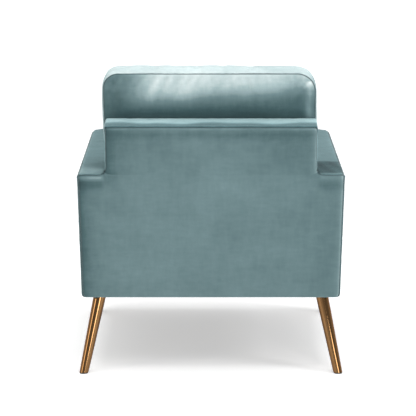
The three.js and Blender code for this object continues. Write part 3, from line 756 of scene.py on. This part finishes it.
def add_arm_panels(name, side):
    length = REAR_Y - FRONT_Y
    height = ARM_TOP - BASE
    lean = math.atan2(TAPER, height)
    edge = 0.014  # radius of the arm's upper front corner

    def soften(points):
        """Rounds off the outer front corner of the arm's top."""
        inward = stack(HALF - side * points[:, 0], points[:, 1] - FRONT_Y, ARM_TOP - points[:, 2])
        near = unit(1 - inward / np.array([0.030, 0.040, 0.028]))
        share = (near ** 0.8).prod(axis=1)
        return points + share[:, None] * np.array([-side * 0.0025, 0.004, -0.0025])

    def arm_painted_shading(s, across):
        """Painted highlights along the outer edge and, on the chair's left arm, at the rear end. The chair's
        right arm has a dark patch there.
        """
        to_rear = path.length - s
        shade = 0.10 * hill(width - across, 0, 0.014) * unit((s - height) / 0.03)
        if side > 0:
            return shade + 0.16 * hill(to_rear, 0.045, 0.05)
        patch = unit((0.20 - to_rear) / 0.02) * unit((to_rear - 0.015) / 0.015)
        return shade - patch * (0.30 + 0.06 * np.sin(across * 160.0 + to_rear * 40.0))

    def depth_at(u, z):
        """The y of a point on the arm's side, where u runs from its front to its slanting rear."""
        return FRONT_Y + u / length * (rear_at(z) - FRONT_Y)

    def on_outside(u, v):
        z = BASE + v
        points = stack(side * side_at(z), depth_at(u, z), z)
        return points, stack(side * math.cos(lean) + u * 0, 0, -math.sin(lean))

    panel(
        f"{name}_arm_outside_panel", rectangle(0, 0, length, height),
        [HEM, SEAM, SEAM, SEAM], on_outside, VELVET["body"], f"{name}_arm_outside_cover",
        rounded=[((0, height), edge), ((length, 0), 0.013), ((0, 0), 0.008)], seed=11 + side,
        soften=soften, crown=0.0026, fold=0.0005,
    )

    inner_height = ARM_TOP - inner_low.z

    def on_inside(u, v):
        z = inner_low.z + v
        return stack(side * ARM_IN, depth_at(u, z), z), stack(-side + u * 0, 0, 0)

    panel(
        f"{name}_arm_inside_panel", rectangle(0, 0, length - 0.02, inner_height),
        [OPEN, OPEN, SEAM, SEAM], on_inside, VELVET["body"], f"{name}_arm_inside_cover",
        rounded=[((0, inner_height), edge)], seed=21 + side, crown=0.0003,
    )

    path = Path([(FRONT_Y, BASE), (FRONT_Y, ARM_TOP), (REAR_Y, ARM_TOP)], [edge])
    width = HALF - ARM_IN

    def on_band(s, across):
        y, z, ny, nz = path.at(s)
        x = ARM_IN + across / width * (side_at(z) - ARM_IN)
        return stack(side * x, y, z), stack(0, ny, nz)

    panel(
        f"{name}_arm_band", rectangle(0, 0, path.length, width),
        [SEAM, SEAM, SEAM, HEM], on_band, VELVET["arm"], f"{name}_arm_band_cover",
        us=path.breaks, seed=31 + side, crown=0.0024, painted_shading=arm_painted_shading, soften=soften, fold=0.0006,
    )


def add_front_border():
    half = ARM_IN + 0.0033  # its sides are tucked in behind the arms' bands
    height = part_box("front_border_cover")[1].z - BASE

    def on_front(u, v):
        return stack(u, FRONT_Y, BASE + v), stack(u * 0, -1, 0)

    panel(
        "front_border_panel", rectangle(-half, 0, half, height),
        [HEM, TUCK, HEM, TUCK], on_front, VELVET["body"], "front_border_cover",
        seed=41, crown=0.0016, hem=0.02,
    )


# ---- Cushions ----
ZIP_HALF = 0.25  # half the zip's length
ZIP_SLOT = 0.0065  # half the width of its slot
SWELL_FRAMES = 20
SEAM_WIDTH = 0.0030  # of a cushion's creased seam
CUT_WIDTH = 0.0028  # how far the slot's edge is folded in


class CushionForm:
    """A box cushion's grid: two faces "across" by "up", and a boxing strip round the thickness.

    The zip's slot is in the boxing along the low edge or the high edge of "up".
    """

    def __init__(self, half, height, thick, radii, spacing, zip_at):
        self.half, self.height, self.thick = half, height, thick
        across = np.array(self.lines(-half, half, spacing))
        for end in (-ZIP_HALF, ZIP_HALF):
            across[np.abs(across - end).argmin()] = end
        up = self.lines(0, height, spacing)
        middle = thick / 2
        deep = [d for d in self.lines(0, thick, spacing) if abs(d - middle) > ZIP_SLOT + 0.003]
        deep = np.array(sorted(deep + [middle + k * ZIP_SLOT for k in (-1, 0, 1)]))
        na, nu = len(across), len(up)
        loop = [(i, 0) for i in range(na)] + [(na - 1, j) for j in range(1, nu)]
        loop += [(i, nu - 1) for i in range(na - 2, -1, -1)] + [(0, j) for j in range(nu - 2, 0, -1)]
        grid = grid_of(across, up)
        sideways = half - np.abs(grid[:, 0])
        upright = np.minimum(grid[:, 1], height - grid[:, 1])
        to_edge = np.minimum(sideways, upright)
        along = np.where(sideways < upright, grid[:, 1], grid[:, 0])
        for corner, radius in radii:
            round_corner(grid, corner, radius, np.array([0.0, height / 2]))

        index = np.arange(na * nu).reshape(na, nu)
        ring = [index[c] for c in loop]
        edge = grid[ring]
        steps = np.linalg.norm(np.diff(edge, axis=0), axis=1)
        travelled = np.concatenate([[0], np.cumsum(steps)])
        flat, depth = [grid, grid], [np.zeros(len(grid)), np.full(len(grid), thick)]
        seam, place = [to_edge, to_edge], [along, along + 0.37]
        rings = [ring]
        count = 2 * len(grid)
        for d in deep[1:-1]:
            rings.append(list(range(count, count + len(ring))))
            count += len(ring)
            flat.append(edge)
            depth.append(np.full(len(ring), d))
            seam.append(np.full(len(ring), min(d, thick - d)))
            place.append(travelled)
        rings.append([len(grid) + i for i in ring])
        self.flat, self.depth = np.concatenate(flat), np.concatenate(depth)
        self.seam, self.along = np.concatenate(seam), np.concatenate(place)
        self.on_rear = self.depth < TOUCH
        self.on_boxing = ~self.on_rear & (self.depth < thick - TOUCH)

        self.faces = []
        for i in range(na - 1):
            for j in range(nu - 1):
                quad = [index[i, j], index[i + 1, j], index[i + 1, j + 1], index[i, j + 1]]
                self.faces.append([int(k) for k in quad[::-1]])
                self.faces.append([int(len(grid) + k) for k in quad])
        self.zip_up = 0 if zip_at == "low" else height
        in_slot = (np.abs(edge[:, 1] - self.zip_up) < TOUCH) & (np.abs(edge[:, 0]) < ZIP_HALF + TOUCH)
        self.slot_faces = []
        for low, high, d in zip(rings[:-1], rings[1:], (deep[1:] + deep[:-1]) / 2):
            for k in range(len(ring)):
                m = (k + 1) % len(ring)
                if abs(d - middle) < ZIP_SLOT and in_slot[k] and in_slot[m]:
                    self.slot_faces.append(len(self.faces))
                self.faces.append([int(low[k]), int(low[m]), int(high[m]), int(high[k])])

    @staticmethod
    def lines(low, high, spacing):
        """Even lines from low to high, with two more close to each end."""
        near = (0.0, 0.003, 0.008)
        inner = np.linspace(low + near[-1], high - near[-1], max(2, round((high - low) / spacing)))
        return [low + d for d in near[:-1]] + list(inner) + [high - d for d in near[-2::-1]]

    def near_zip(self, reach):
        """1 along the zip, falling to 0 within a margin round it, on the boxing only."""
        across = unit((ZIP_HALF + reach - np.abs(self.flat[:, 0])) / reach)
        offset = np.abs(self.depth - self.thick / 2) - ZIP_SLOT
        deep = unit(1 - offset / reach)
        on_edge = np.abs(self.flat[:, 1] - self.zip_up) < TOUCH
        return smooth(np.minimum(across, deep) * on_edge)


def vertex_normals(points, faces):
    quads = np.array(faces)
    first, second, third, fourth = (points[quads[:, k]] for k in range(4))
    normal = np.cross(third - first, fourth - second)
    total = np.zeros_like(points)
    for k in range(4):
        np.add.at(total, quads[:, k], normal)
    return total / np.maximum(np.linalg.norm(total, axis=1), 1e-12)[:, None]


SWELLING = {
    "quality": 6, "mass": 0.3, "tension_stiffness": 14, "compression_stiffness": 14,
    "shear_stiffness": 4, "bending_stiffness": 0.4, "air_damping": 2.0, "shrink_min": -0.02,
    "use_pressure": True, "uniform_pressure_force": 4, "vertex_group_mass": "held",
}


def swell(start, faces, held, cap):
    """Blows the form up as cloth. The held share of each point keeps it near its start."""
    obj = make_object("swelling", start, faces, FOAM)
    group = obj.vertex_groups.new(name="held")
    for k, share in enumerate(held):
        group.add([k], float(share), "REPLACE")
    cloth = obj.modifiers.new("cloth", "CLOTH")
    for key, value in SWELLING.items():
        setattr(cloth.settings, key, value)
    cloth.settings.effector_weights.gravity = 0
    cloth.collision_settings.use_collision = False
    cloth.point_cache.frame_start, cloth.point_cache.frame_end = 1, SWELL_FRAMES
    scene = bpy.context.scene
    for number in range(1, SWELL_FRAMES + 1):
        scene.frame_set(number)
    shown = obj.evaluated_get(bpy.context.evaluated_depsgraph_get())
    points = np.array([v.co for v in shown.data.vertices], float)
    bpy.data.objects.remove(obj)
    scene.frame_set(1)
    step = points - start
    size = np.linalg.norm(step, axis=1)
    return start + step * (cap * np.tanh(size / cap) / np.maximum(size, 1e-9))[:, None]


def soft_limit(value, limit, softness=0.002):
    """value, held below limit with a soft knee."""
    return value - softness * np.logaddexp(0, (value - limit) / softness)


def soft_step(value, softness):
    """0 well below zero and 1 well above it."""
    return 1 / (1 + np.exp(-value / softness))


def soft_floor(value, limit, softness):
    """value, held above limit with a soft knee."""
    return -soft_limit(-value, -limit, softness)


def soft_sides(value, limit, softness):
    """value, held between limit on either side of zero with a soft knee."""
    return np.sign(value) * soft_limit(np.abs(value), limit, softness)


def cushion_surface(form, place, limits, marks, seed, bulge):
    """The cushion's points: swollen by at most bulge, creased and folded at its seams, then limited."""
    start = place(form.flat, form.depth)
    held = 0.02 + 0.80 * hill(form.seam, 0, 0.016)
    points = swell(start, form.faces, held, bulge)
    normals = vertex_normals(points, form.faces)
    crease = 0.0030 * hill(form.seam, 0, SEAM_WIDTH)
    ridge = 0.0014 * hill(form.seam, 0.008, 0.004) * np.where(form.on_boxing, 0.3, 1.0)
    folds = gathers(form.along, form.seam, seed, 0.9) * fade(form.seam, 0.03) * unit(form.seam / 0.006)
    folds *= np.where(form.on_boxing, 0.35, 1.0)
    relief = ridge - crease + 0.0009 * folds + 0.0008 * waves(points, 9, 0.07, 0.3, seed)
    relief += form.on_rear * strokes(form.flat[:, 0], form.flat[:, 1], marks)
    relief *= 1 - form.near_zip(0.03)
    return limits(points + normals * relief[:, None])


def add_cushion(name, form, place, limits, material, seed, bulge, marks=(), painted_shading=None):
    """A stuffed cover with its zip's slot, and the foam core in it, in place of the CAD's own."""
    points = cushion_surface(form, place, limits, marks, seed, bulge)
    # painted light and shade, carried to the velvet as a point attribute
    share = painted_shading(points) if painted_shading else np.zeros(len(points))
    normals = vertex_normals(points, form.faces)

    foam = points - normals * (0.006 + 0.007 * form.near_zip(0.02))[:, None]
    core = make_object(f"{name}_cushion_foam", foam, form.faces, FOAM)
    dress(core, f"{name}_cushion", [f"{name}_cushion_core"])

    cut = set(form.slot_faces)
    faces = [f for k, f in enumerate(form.faces) if k not in cut]
    cover = make_object(f"{name}_cushion_case", points, faces, material, {"seam": form.seam, "painted_shading": share})
    mesh = bmesh.new()
    mesh.from_mesh(cover.data)
    bmesh.ops.delete(mesh, geom=[v for v in mesh.verts if not v.link_faces], context="VERTS")
    inward = Vector(-normals[form.faces[form.slot_faces[0]][0]]) * CUT_WIDTH
    for v in extruded(mesh, [e for e in mesh.edges if e.is_boundary]):
        v.co += inward
    for f in mesh.faces:
        f.smooth = True
    mesh.to_mesh(cover.data)
    mesh.free()
    smoother = cover.modifiers.new("subdivision", "SUBSURF")
    smoother.levels = smoother.render_levels = 1
    dress(cover, f"{name}_cushion", [f"{name}_cushion_cover"])


def corner_marks(form, seed):
    """Small puckers that fan out from the two rounded top corners of a cushion's face."""
    random = np.random.default_rng(seed)
    inset, reach = 0.058, 0.056
    marks = []
    for side in (-1, 1):
        for k in range(9):
            angle = 10 + 10 * k + random.uniform(-4, 4)
            u = side * (form.half - inset + reach * math.cos(math.radians(angle)))
            v = form.height - inset + reach * math.sin(math.radians(angle))
            way = 180 + angle if side > 0 else -angle
            height = random.uniform(0.0008, 0.0022) * (1 if k % 2 else -1)
            marks.append((u, v, way, random.uniform(0.03, 0.07), random.uniform(0.003, 0.006), height))
    return marks


def slanting_marks(form, seed):
    """The long folds that run down from the top seam and lean to the chair's left."""
    random = np.random.default_rng(seed)
    marks = []
    for k in range(22):
        u = 0.245 - 0.0165 * k + random.uniform(-0.006, 0.006)
        height = random.uniform(0.0012, 0.0030) * (1 if k % 2 else -0.8) * (1 if k < 15 else 0.4)
        way = -90 + random.uniform(22, 46)
        width = random.uniform(0.0035, 0.0085)
        marks.append((u, form.height - 0.004, way, random.uniform(0.05, 0.14), width, height))
    return marks


def add_seat_cushion():
    """The cushion on the deck. Its front stands proud where the back cushion doesn't cover it."""
    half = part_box("seat_cushion_cover")[1].x
    front, length, thick = -0.008, 0.620, 0.1294
    crown, covered_from = 0.016, 0.445
    radii = [((-half, 0), 0.03), ((half, 0), 0.03), ((-half, length), 0.018), ((half, length), 0.018)]
    form = CushionForm(half, length, thick, radii, 0.0095, "high")
    rear = front + length

    def place(flat, depth):
        x = flat[:, 0] * (1 - 0.005 / half)
        y = front + 0.004 + flat[:, 1] * (1 - 0.008 / length)
        z = 0.003 + depth * (1 - 0.008 / thick)
        return moved(SEAT_FRAME, stack(x, y, z))

    def limits(points):
        local = moved(SEAT_FRAME.inverted(), points)
        local[:, 0] = soft_sides(local[:, 0], half + 0.0006, 0.001)
        local[:, 1] = soft_limit(local[:, 1], rear + 0.0006, 0.001)
        local[:, 1] = soft_floor(local[:, 1], -0.014, 0.003)
        local[:, 2] = soft_floor(local[:, 2], 0.0006, 0.0006)
        covered = soft_step(local[:, 1] - covered_from, 0.012)
        local[:, 2] = soft_limit(local[:, 2], thick + 0.0008 + crown * (1 - covered), 0.001)
        zip_share = form.near_zip(0.03)
        local[:, 1] += (rear - local[:, 1]) * zip_share
        local[:, 2] += (0.001 + form.depth - local[:, 2]) * zip_share
        return moved(SEAT_FRAME, local)

    add_cushion("seat", form, place, limits, VELVET["seat"], seed=51, bulge=0.022)


def add_back_cushion():
    """The cushion on the seat against the back. It is free to swell over the arms and the back's top."""
    low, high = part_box("back_cushion_cover")
    half = high.x
    thick = 0.125
    seat_top = 0.1315  # the seat cushion's top, over the deck
    rear = BACK_THICK + 0.0015
    foot = (low.z + 0.0005 - ARM_TOP - rear * math.sin(RAKE)) / math.cos(RAKE)
    height = 0.2495 - foot
    rise = math.tan(RAKE - SLOPE)
    radii = [((-half, 0), 0.016), ((half, 0), 0.016), ((-half, height), 0.052), ((half, height), 0.042)]
    form = CushionForm(half, height, thick, radii, 0.0085, "low")

    def place(flat, depth):
        up = flat[:, 1] / height
        above_arms = unit((foot + flat[:, 1] - 0.01) / 0.05)
        x = flat[:, 0] * (1 + (0.009 * above_arms - 0.005) / half)
        y = -(rear + 0.005 + depth * (1 - 0.014 / thick))
        z = foot + 0.003 + flat[:, 1] * (1 + 0.006 / height)
        z += depth * (1 - up) * rise - depth * up * math.tan(RAKE) * 0.55
        z += 0.006 * np.sin(unit(depth / thick) * math.pi) * up ** 8
        return back_points(x, y, z)

    def limits(points):
        local = moved(BACK_FRAME.inverted(), points)
        above_arms = soft_step(points[:, 2] - ARM_TOP - 0.012, 0.008)
        side = half + 0.0006 + 0.0085 * above_arms
        local[:, 0] = soft_sides(local[:, 0], side, 0.0015)
        above_back = smooth(unit((local[:, 2] - BACK_HEIGHT - 0.002) / 0.045))
        local[:, 1] = soft_limit(local[:, 1], -(BACK_THICK + 0.0008) + 0.022 * above_back, 0.001)
        local[:, 1] = soft_floor(local[:, 1], -(rear + thick + 0.013), 0.003)
        points = moved(BACK_FRAME, local)
        seat = moved(SEAT_FRAME.inverted(), points)
        seat[:, 2] = soft_floor(seat[:, 2], seat_top + 0.0004, 0.0008)
        seat[:, 2] += (seat_top - seat[:, 2]) * form.near_zip(0.03)
        points = moved(SEAT_FRAME, seat)
        points[:, 0] += 0.0045 * smooth(unit((points[:, 2] - ARM_TOP) / 0.2))
        return points

    marks = corner_marks(form, 5) + slanting_marks(form, 6)
    mark_shade = 27  # how strongly the folds' height is painted as light and shade

    def painted_shading(points):
        """Painted light and shade: the rear face is lit at its top and its right end and dark low down and at
        its left end, its folds are shaded by their height, and the boxing is lighter along its top.
        """
        local = moved(BACK_FRAME.inverted(), points)
        u, v = local[:, 0], local[:, 2] - BACK_HEIGHT
        turn = 0.062 - 0.022 * np.clip(u / 0.28, -1, 1) + 0.004 * waves(local[:, [0, 2]], 4, 0.05, 0.2, 9)
        rise = np.tanh((v - turn) / 0.026)
        shade = np.where(rise > 0, 0.34 * rise, 0.30 * rise)
        left_end = unit((u - 0.16) / 0.09)
        right_end = hill(u, -0.271, 0.012)
        shade = shade * (1 - 0.75 * left_end) - 0.24 * left_end + 0.26 * right_end * (v < turn + 0.02)
        shade += mark_shade * strokes(form.flat[:, 0], form.flat[:, 1], marks)
        top = 0.31 * unit((form.flat[:, 1] - form.height + 0.03) / 0.02)
        side = 0.05 * np.clip(-u / form.half, -1, 1)
        boxing = np.where(form.on_boxing, np.maximum(top, side), 0.0)
        return np.where(form.on_rear, shade, boxing)

    add_cushion("back", form, place, limits, VELVET["cushion"], 61, 0.024, marks, painted_shading)


def seat_box(node):
    """The node's lowest and highest corner in the sloping seat's own directions."""
    corners = np.array([v.co for v in nodes[node].data.vertices])
    corners = moved(SEAT_FRAME.inverted(), corners)
    return corners.min(axis=0), corners.max(axis=0)


def add_zip(name, row):
    """A nickel zip in the CAD's place for it: two stitched tapes and two rows of teeth."""
    first, last = seat_box(f"{name}_cushion_zip")
    middle = (first + last) / 2
    outward, across, sign = (1, 2, 1) if row == "rear" else (2, 1, -1)
    face = last[outward] if sign > 0 else first[outward]
    tape_half = (last[across] - first[across]) / 2
    mesh = bmesh.new()

    def box_at(length_span, width_span, depth_span, slot):
        spans = {0: length_span, across: sorted(width_span), outward: sorted(depth_span)}
        size = [spans[k][1] - spans[k][0] for k in range(3)]
        centre = [(spans[k][1] + spans[k][0]) / 2 for k in range(3)]
        for v in block(mesh, SEAT_FRAME @ Matrix.Translation(centre), size):
            for f in v.link_faces:
                f.material_index = slot

    line = middle[across]
    stitch, thread, tooth_half, tooth_pitch = 0.0026, 0.0002, 0.0008, 0.0026
    for way in (-1, 1):
        tape = (line + way * 0.0012, line + way * tape_half)
        box_at((first[0], last[0]), tape, (face, face - sign * 0.0009), 0)
        row_at = line + way * 0.0052
        for x in first[0] + 0.002 + 0.004 * np.arange(128):
            if x + stitch < last[0]:
                box_at((x, x + stitch), (row_at - thread, row_at + thread), (face, face + sign * thread), 0)
    for k in range(int((last[0] - first[0] - 0.012) / tooth_pitch)):
        way = 1 if k % 2 else -1
        x = first[0] + 0.006 + k * tooth_pitch
        tooth = (line - way * 0.0009, line + way * 0.0030)
        box_at((x - tooth_half, x + tooth_half), tooth, (face - sign * 0.0013, face + sign * 0.00015), 1)
    obj = object_from(mesh, f"{name}_zip_chain", ZIP_TAPE)
    obj.data.materials.append(NICKEL)
    dress(obj, f"{name}_cushion", [f"{name}_cushion_zip"])
    refined(f"{name}_zip_slider", f"{name}_zip_pull", NICKEL, 0.0003, f"{name}_zip_slider")


# ---- Legs, glides, screws, staples ----
def block(mesh, place, size):
    """Adds a box of this size to the mesh, and gives its points."""
    return bmesh.ops.create_cube(mesh, size=1.0, matrix=place @ Matrix.Diagonal((*size, 1)))["verts"]


def object_from(mesh, name, material, sharp=35):
    """An object of this edit mesh, smooth but for edges of more than "sharp" degrees."""
    data = bpy.data.meshes.new(name)
    mesh.to_mesh(data)
    mesh.free()
    data.materials.append(material)
    data.polygons.foreach_set("use_smooth", [True] * len(data.polygons))
    data.set_sharp_from_angle(angle=math.radians(sharp))
    return new_object(name, data)


def refined(node, name, material, bevel, body="chair_frame"):
    """The CAD node's shape with merged corners, small bevels and smooth rounds."""
    mesh = bmesh.new()
    mesh.from_mesh(nodes[node].data)
    bmesh.ops.remove_doubles(mesh, verts=mesh.verts, dist=1e-6)
    obj = object_from(mesh, name, material, 32)
    rounding = obj.modifiers.new("bevel", "BEVEL")
    rounding.width = bevel
    rounding.segments = 3
    rounding.limit_method = "ANGLE"
    rounding.angle_limit = math.radians(40)
    shading = obj.modifiers.new("normals", "WEIGHTED_NORMAL")
    shading.weight = 100
    dress(obj, body, [node])


def screw_mesh(mesh, centre, turn):
    """A low wood screw head under a plate, with a cross recess."""
    segments = 24
    angles = [2 * math.pi * k / segments for k in range(segments)]
    recess = [0.0019 if abs(math.sin(2 * (a - turn))) < 0.35 else 0.0007 for a in angles]
    loops = []
    for radius, drop in ((0.0045, 0.0), (0.0044, 0.0004), (0.0036, 0.0008), (0.0024, 0.0010), (None, 0.0010)):
        radii = [radius] * segments if radius else recess
        ways = [Vector((r * math.cos(a), r * math.sin(a), -drop)) for r, a in zip(radii, angles)]
        loops.append([mesh.verts.new(centre + way) for way in ways])
    loops.append([mesh.verts.new(v.co + Vector((0, 0, 0.0014))) for v in loops[-1]])
    for low, high in zip(loops[:-1], loops[1:]):
        for k in range(segments):
            m = (k + 1) % segments
            mesh.faces.new((low[k], high[k], high[m], low[m]))
    mesh.faces.new(loops[-1][::-1])


def add_hardware(mesh, name):
    """A steel object of this edit mesh, fixed to the frame."""
    bmesh.ops.recalc_face_normals(mesh, faces=mesh.faces)
    dress(object_from(mesh, name, STEEL), "chair_frame")


def leg_plates():
    """Each leg's name, its side, and the middle of its plate's underside."""
    for end in ("front", "rear"):
        for side_name, side in SIDES:
            name = f"{end}_{side_name}"
            low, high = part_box(f"{name}_leg")
            x = low.x + PLATE_HALF if side > 0 else high.x - PLATE_HALF
            y = high.y - PLATE_HALF if end == "front" else low.y + PLATE_HALF
            yield name, side, (x, y, high.z - PLATE_THICK)


def add_legs():
    """The four legs with their glides, and four screws under each plate."""
    for name, side, (x, y, z) in leg_plates():
        refined(f"{name}_leg", f"{name}_leg_metal", BRASS, 0.0006)
        refined(f"{name}_glide", f"{name}_foot_glide", NYLON, 0.0005)
        mesh = bmesh.new()
        for k, (a, b) in enumerate(((-1, -1), (1, -1), (1, 1), (-1, 1))):
            centre = Vector((x + a * SCREW_OFFSET, y + b * SCREW_OFFSET, z))
            screw_mesh(mesh, centre, 0.4 + k * 0.9 + side)
        add_hardware(mesh, f"{name}_leg_screws")


def cloth_sheet(name, points, rows, material, thick, replaced):
    """A stretched sheet over a grid of points, its thickness on the side away from its normals."""
    obj = make_object(name, points, grid_quads(len(points) // rows, rows), material, thick=thick)
    dress(obj, "chair_frame", [replaced])


def evenly(low, high):
    """Lines about 9 mm apart from low to high, both included."""
    return np.linspace(low, high, round(abs(high - low) / 0.009) + 1)


def add_deck_cloth():
    """The cloth over the sprung deck. Its front edge is stitched, and its rear edge turned down."""
    first, last = seat_box("deck_cover")
    turn = last[1] + 0.0012
    ys = np.append(evenly(first[1], turn), [turn + 0.0008, turn + 0.0080])
    flat = grid_of(evenly(first[0], last[0]), ys)
    from_front = flat[:, 1] - first[1]
    past = np.clip(flat[:, 1] - turn, 0, None)
    y = flat[:, 1] - past + np.minimum(past, 0.0006)
    z = -0.0004 + 0.0003 * np.clip(waves(flat, 8, 0.04, 0.2, 71), -1.2, 1.2)
    z -= 0.0003 * hill(from_front, 0.018, 0.004)
    z -= np.clip(past - 0.0002, 0, None)
    points = moved(SEAT_FRAME, stack(flat[:, 0], y, z))
    cloth_sheet("deck_cloth", points, len(ys), DECK_CLOTH, 0.0009, "deck_cover")


def dust_cloth_box():
    """The dust cloth's box, inside the velvet hems that are turned in under the frame."""
    low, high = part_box("dust_cover")
    return Vector((low.x + 0.014, low.y + 0.020, low.z)), Vector((high.x - 0.014, high.y - 0.017, high.z))


def add_dust_cloth():
    """The black cloth under the seat. It sags a little between its staples and the leg plates."""
    low, high = dust_cloth_box()
    ys = evenly(low.y, high.y)
    flat = grid_of(evenly(high.x, low.x), ys)
    inset = np.minimum(flat - np.array(low)[:2], np.array(high)[:2] - flat).min(axis=1)
    free = unit((inset - 0.012) / 0.10)
    for _, _, (x, y, _) in leg_plates():
        free *= unit((np.hypot(flat[:, 0] - x, flat[:, 1] - y) - 0.044) / 0.05)
    sag = free * (0.0012 + 0.0005 * np.clip(waves(flat, 9, 0.05, 0.3, 73), -1.2, 1.2))
    points = stack(flat[:, 0], flat[:, 1], low.z + 0.0001 - sag)
    cloth_sheet("dust_cloth", points, len(ys), DUST_CLOTH, 0.0008, "dust_cover")


def add_staples():
    """The staples that hold the dust cloth, a row along each side of the base."""
    low, high = dust_cloth_box()
    mesh = bmesh.new()
    edge = 0.009
    margin = 0.03  # from a row's ends to the cloth's corners

    def staple(x, y, turn):
        frame_at = Matrix.Translation((x, y, low.z - 0.0003)) @ Matrix.Rotation(turn, 4, "Z")
        corners = block(mesh, frame_at, (0.0105, 0.0012, 0.0007))
        edges = list({e for v in corners for e in v.link_edges})
        bmesh.ops.bevel(mesh, geom=edges, offset=0.0002, segments=1, affect="EDGES")

    random = np.random.default_rng(5)
    for k in range(19):
        x = low.x + margin + k * (high.x - low.x - 2 * margin) / 18
        for y in (low.y + edge, high.y - edge):
            staple(x + random.uniform(-0.003, 0.003), y, random.uniform(-0.25, 0.25))
    for k in range(18):
        y = low.y + margin + k * (high.y - low.y - 2 * margin) / 17
        for x in (low.x + edge, high.x - edge):
            staple(x, y + random.uniform(-0.003, 0.003), math.pi / 2 + random.uniform(-0.25, 0.25))
    add_hardware(mesh, "dust_cloth_staples")


# ---- Materials for the pieces that stay as the CAD made them ----
INNER_MATERIALS = (
    ("padding", FOAM), ("spring", SPRING_STEEL), ("webbing", WEBBING), ("board", BOARD),
    ("arm_top_rail", WOOD_Y), ("side_rail", WOOD_Y), ("post", WOOD_Z), ("", WOOD_X),
)


def paint_inner_nodes():
    """The first of these words that a node's name holds gives its material."""
    for name, obj in nodes.items():
        if obj.hide_render:
            continue
        material = next(material for word, material in INNER_MATERIALS if word in name)
        obj.data.materials.clear()
        obj.data.materials.append(material)


# ---- Floor, light and camera ----
def add_floor():
    size = 40.0
    floor = make_object(
        "floor", [(-size, -size, 0), (size, -size, 0), (size, size, 0), (-size, size, 0)],
        [(0, 1, 2, 3)], pale_floor(), shade_smooth=False,
    )


def pale_floor():
    n = Nodes("pale_floor")
    haze = n.noise(0.8, 3)
    color = n.blend(haze, (0.90, 0.90, 0.90, 1), (0.93, 0.93, 0.93, 1))
    away = n.add("ShaderNodeVectorMath", operation="LENGTH")
    n.put(n.place, away.inputs[0])
    glow = n.ramp(away.outputs["Value"], 1.2, 6.0, 0.35, 0.64)
    n.put(glow, n.shader.inputs["Emission Strength"])
    return n.finish(color, 0.9, Specular_IOR_Level=0.0, Emission_Color=(1.0, 1.0, 1.0, 1.0))


def area_light(name, place, target, size, power, color=(1, 1, 1)):
    data = bpy.data.lights.new(name, "AREA")
    data.shape = "RECTANGLE"
    data.size, data.size_y = size
    data.energy = power
    data.color = color
    light = new_object(name, data)
    light.location = place
    light.rotation_euler = (Vector(target) - Vector(place)).to_track_quat("-Z", "Y").to_euler()


def add_light():
    """A studio with a bright horizon, dim walls above it, and large soft boxes."""
    world = bpy.data.worlds.new("studio")
    bpy.context.scene.world = world
    world.use_nodes = True
    tree = world.node_tree
    background = tree.nodes["Background"]
    place = tree.nodes.new("ShaderNodeTexCoord")
    split = tree.nodes.new("ShaderNodeSeparateXYZ")
    ramp = tree.nodes.new("ShaderNodeValToRGB")
    tree.links.new(place.outputs["Generated"], split.inputs[0])
    tree.links.new(split.outputs["Z"], ramp.inputs[0])
    tree.links.new(ramp.outputs[0], background.inputs["Color"])
    levels = ((0.0, 1.0), (0.12, 0.9), (0.24, 0.36), (0.62, 0.34), (0.85, 0.75))
    set_stops(ramp, [(height, (level, level, level, 1.0)) for height, level in levels])
    area_light("overhead", (0.0, 0.1, 2.9), (0, 0.0, 0.2), (2.2, 2.2), 58)
    area_light("key", (-1.70, 4.6, 1.35), (0, 0.2, 0.3), (1.35, 1.7), 64)
    area_light("side", (-3.2, 1.6, 2.5), (0, 0.2, 0.5), (1.0, 1.0), 30)
    area_light("fill", (3.2, 1.9, 1.20), (0, 0.2, 0.2), (1.0, 1.0), 15, (1.0, 0.90, 0.78))


CAMERA_BEHIND = 5.166  # from the back's rear edge
CAMERA_HEIGHT = 1.5757
CAMERA_TILT = 12.01  # degrees down


def add_camera():
    data = bpy.data.cameras.new("camera")
    data.sensor_width = 36.0
    data.lens = 166.9
    data.clip_end = 100.0
    camera = new_object("camera", data)
    camera.location = (0.0081, REAR_Y + CAMERA_BEHIND, CAMERA_HEIGHT)
    camera.rotation_euler = (math.radians(90 - CAMERA_TILT), 0, math.pi)
    bpy.context.scene.camera = camera


add_back_panels()
for arm_name, arm_side in SIDES:
    add_arm_panels(arm_name, arm_side)
add_front_border()
add_seat_cushion()
add_back_cushion()
add_zip("seat", "rear")
add_zip("back", "foot")
add_legs()
add_deck_cloth()
add_dust_cloth()
add_staples()
paint_inner_nodes()
add_floor()
add_light()
add_camera()
bpy.context.scene.view_settings.view_transform = "Standard"
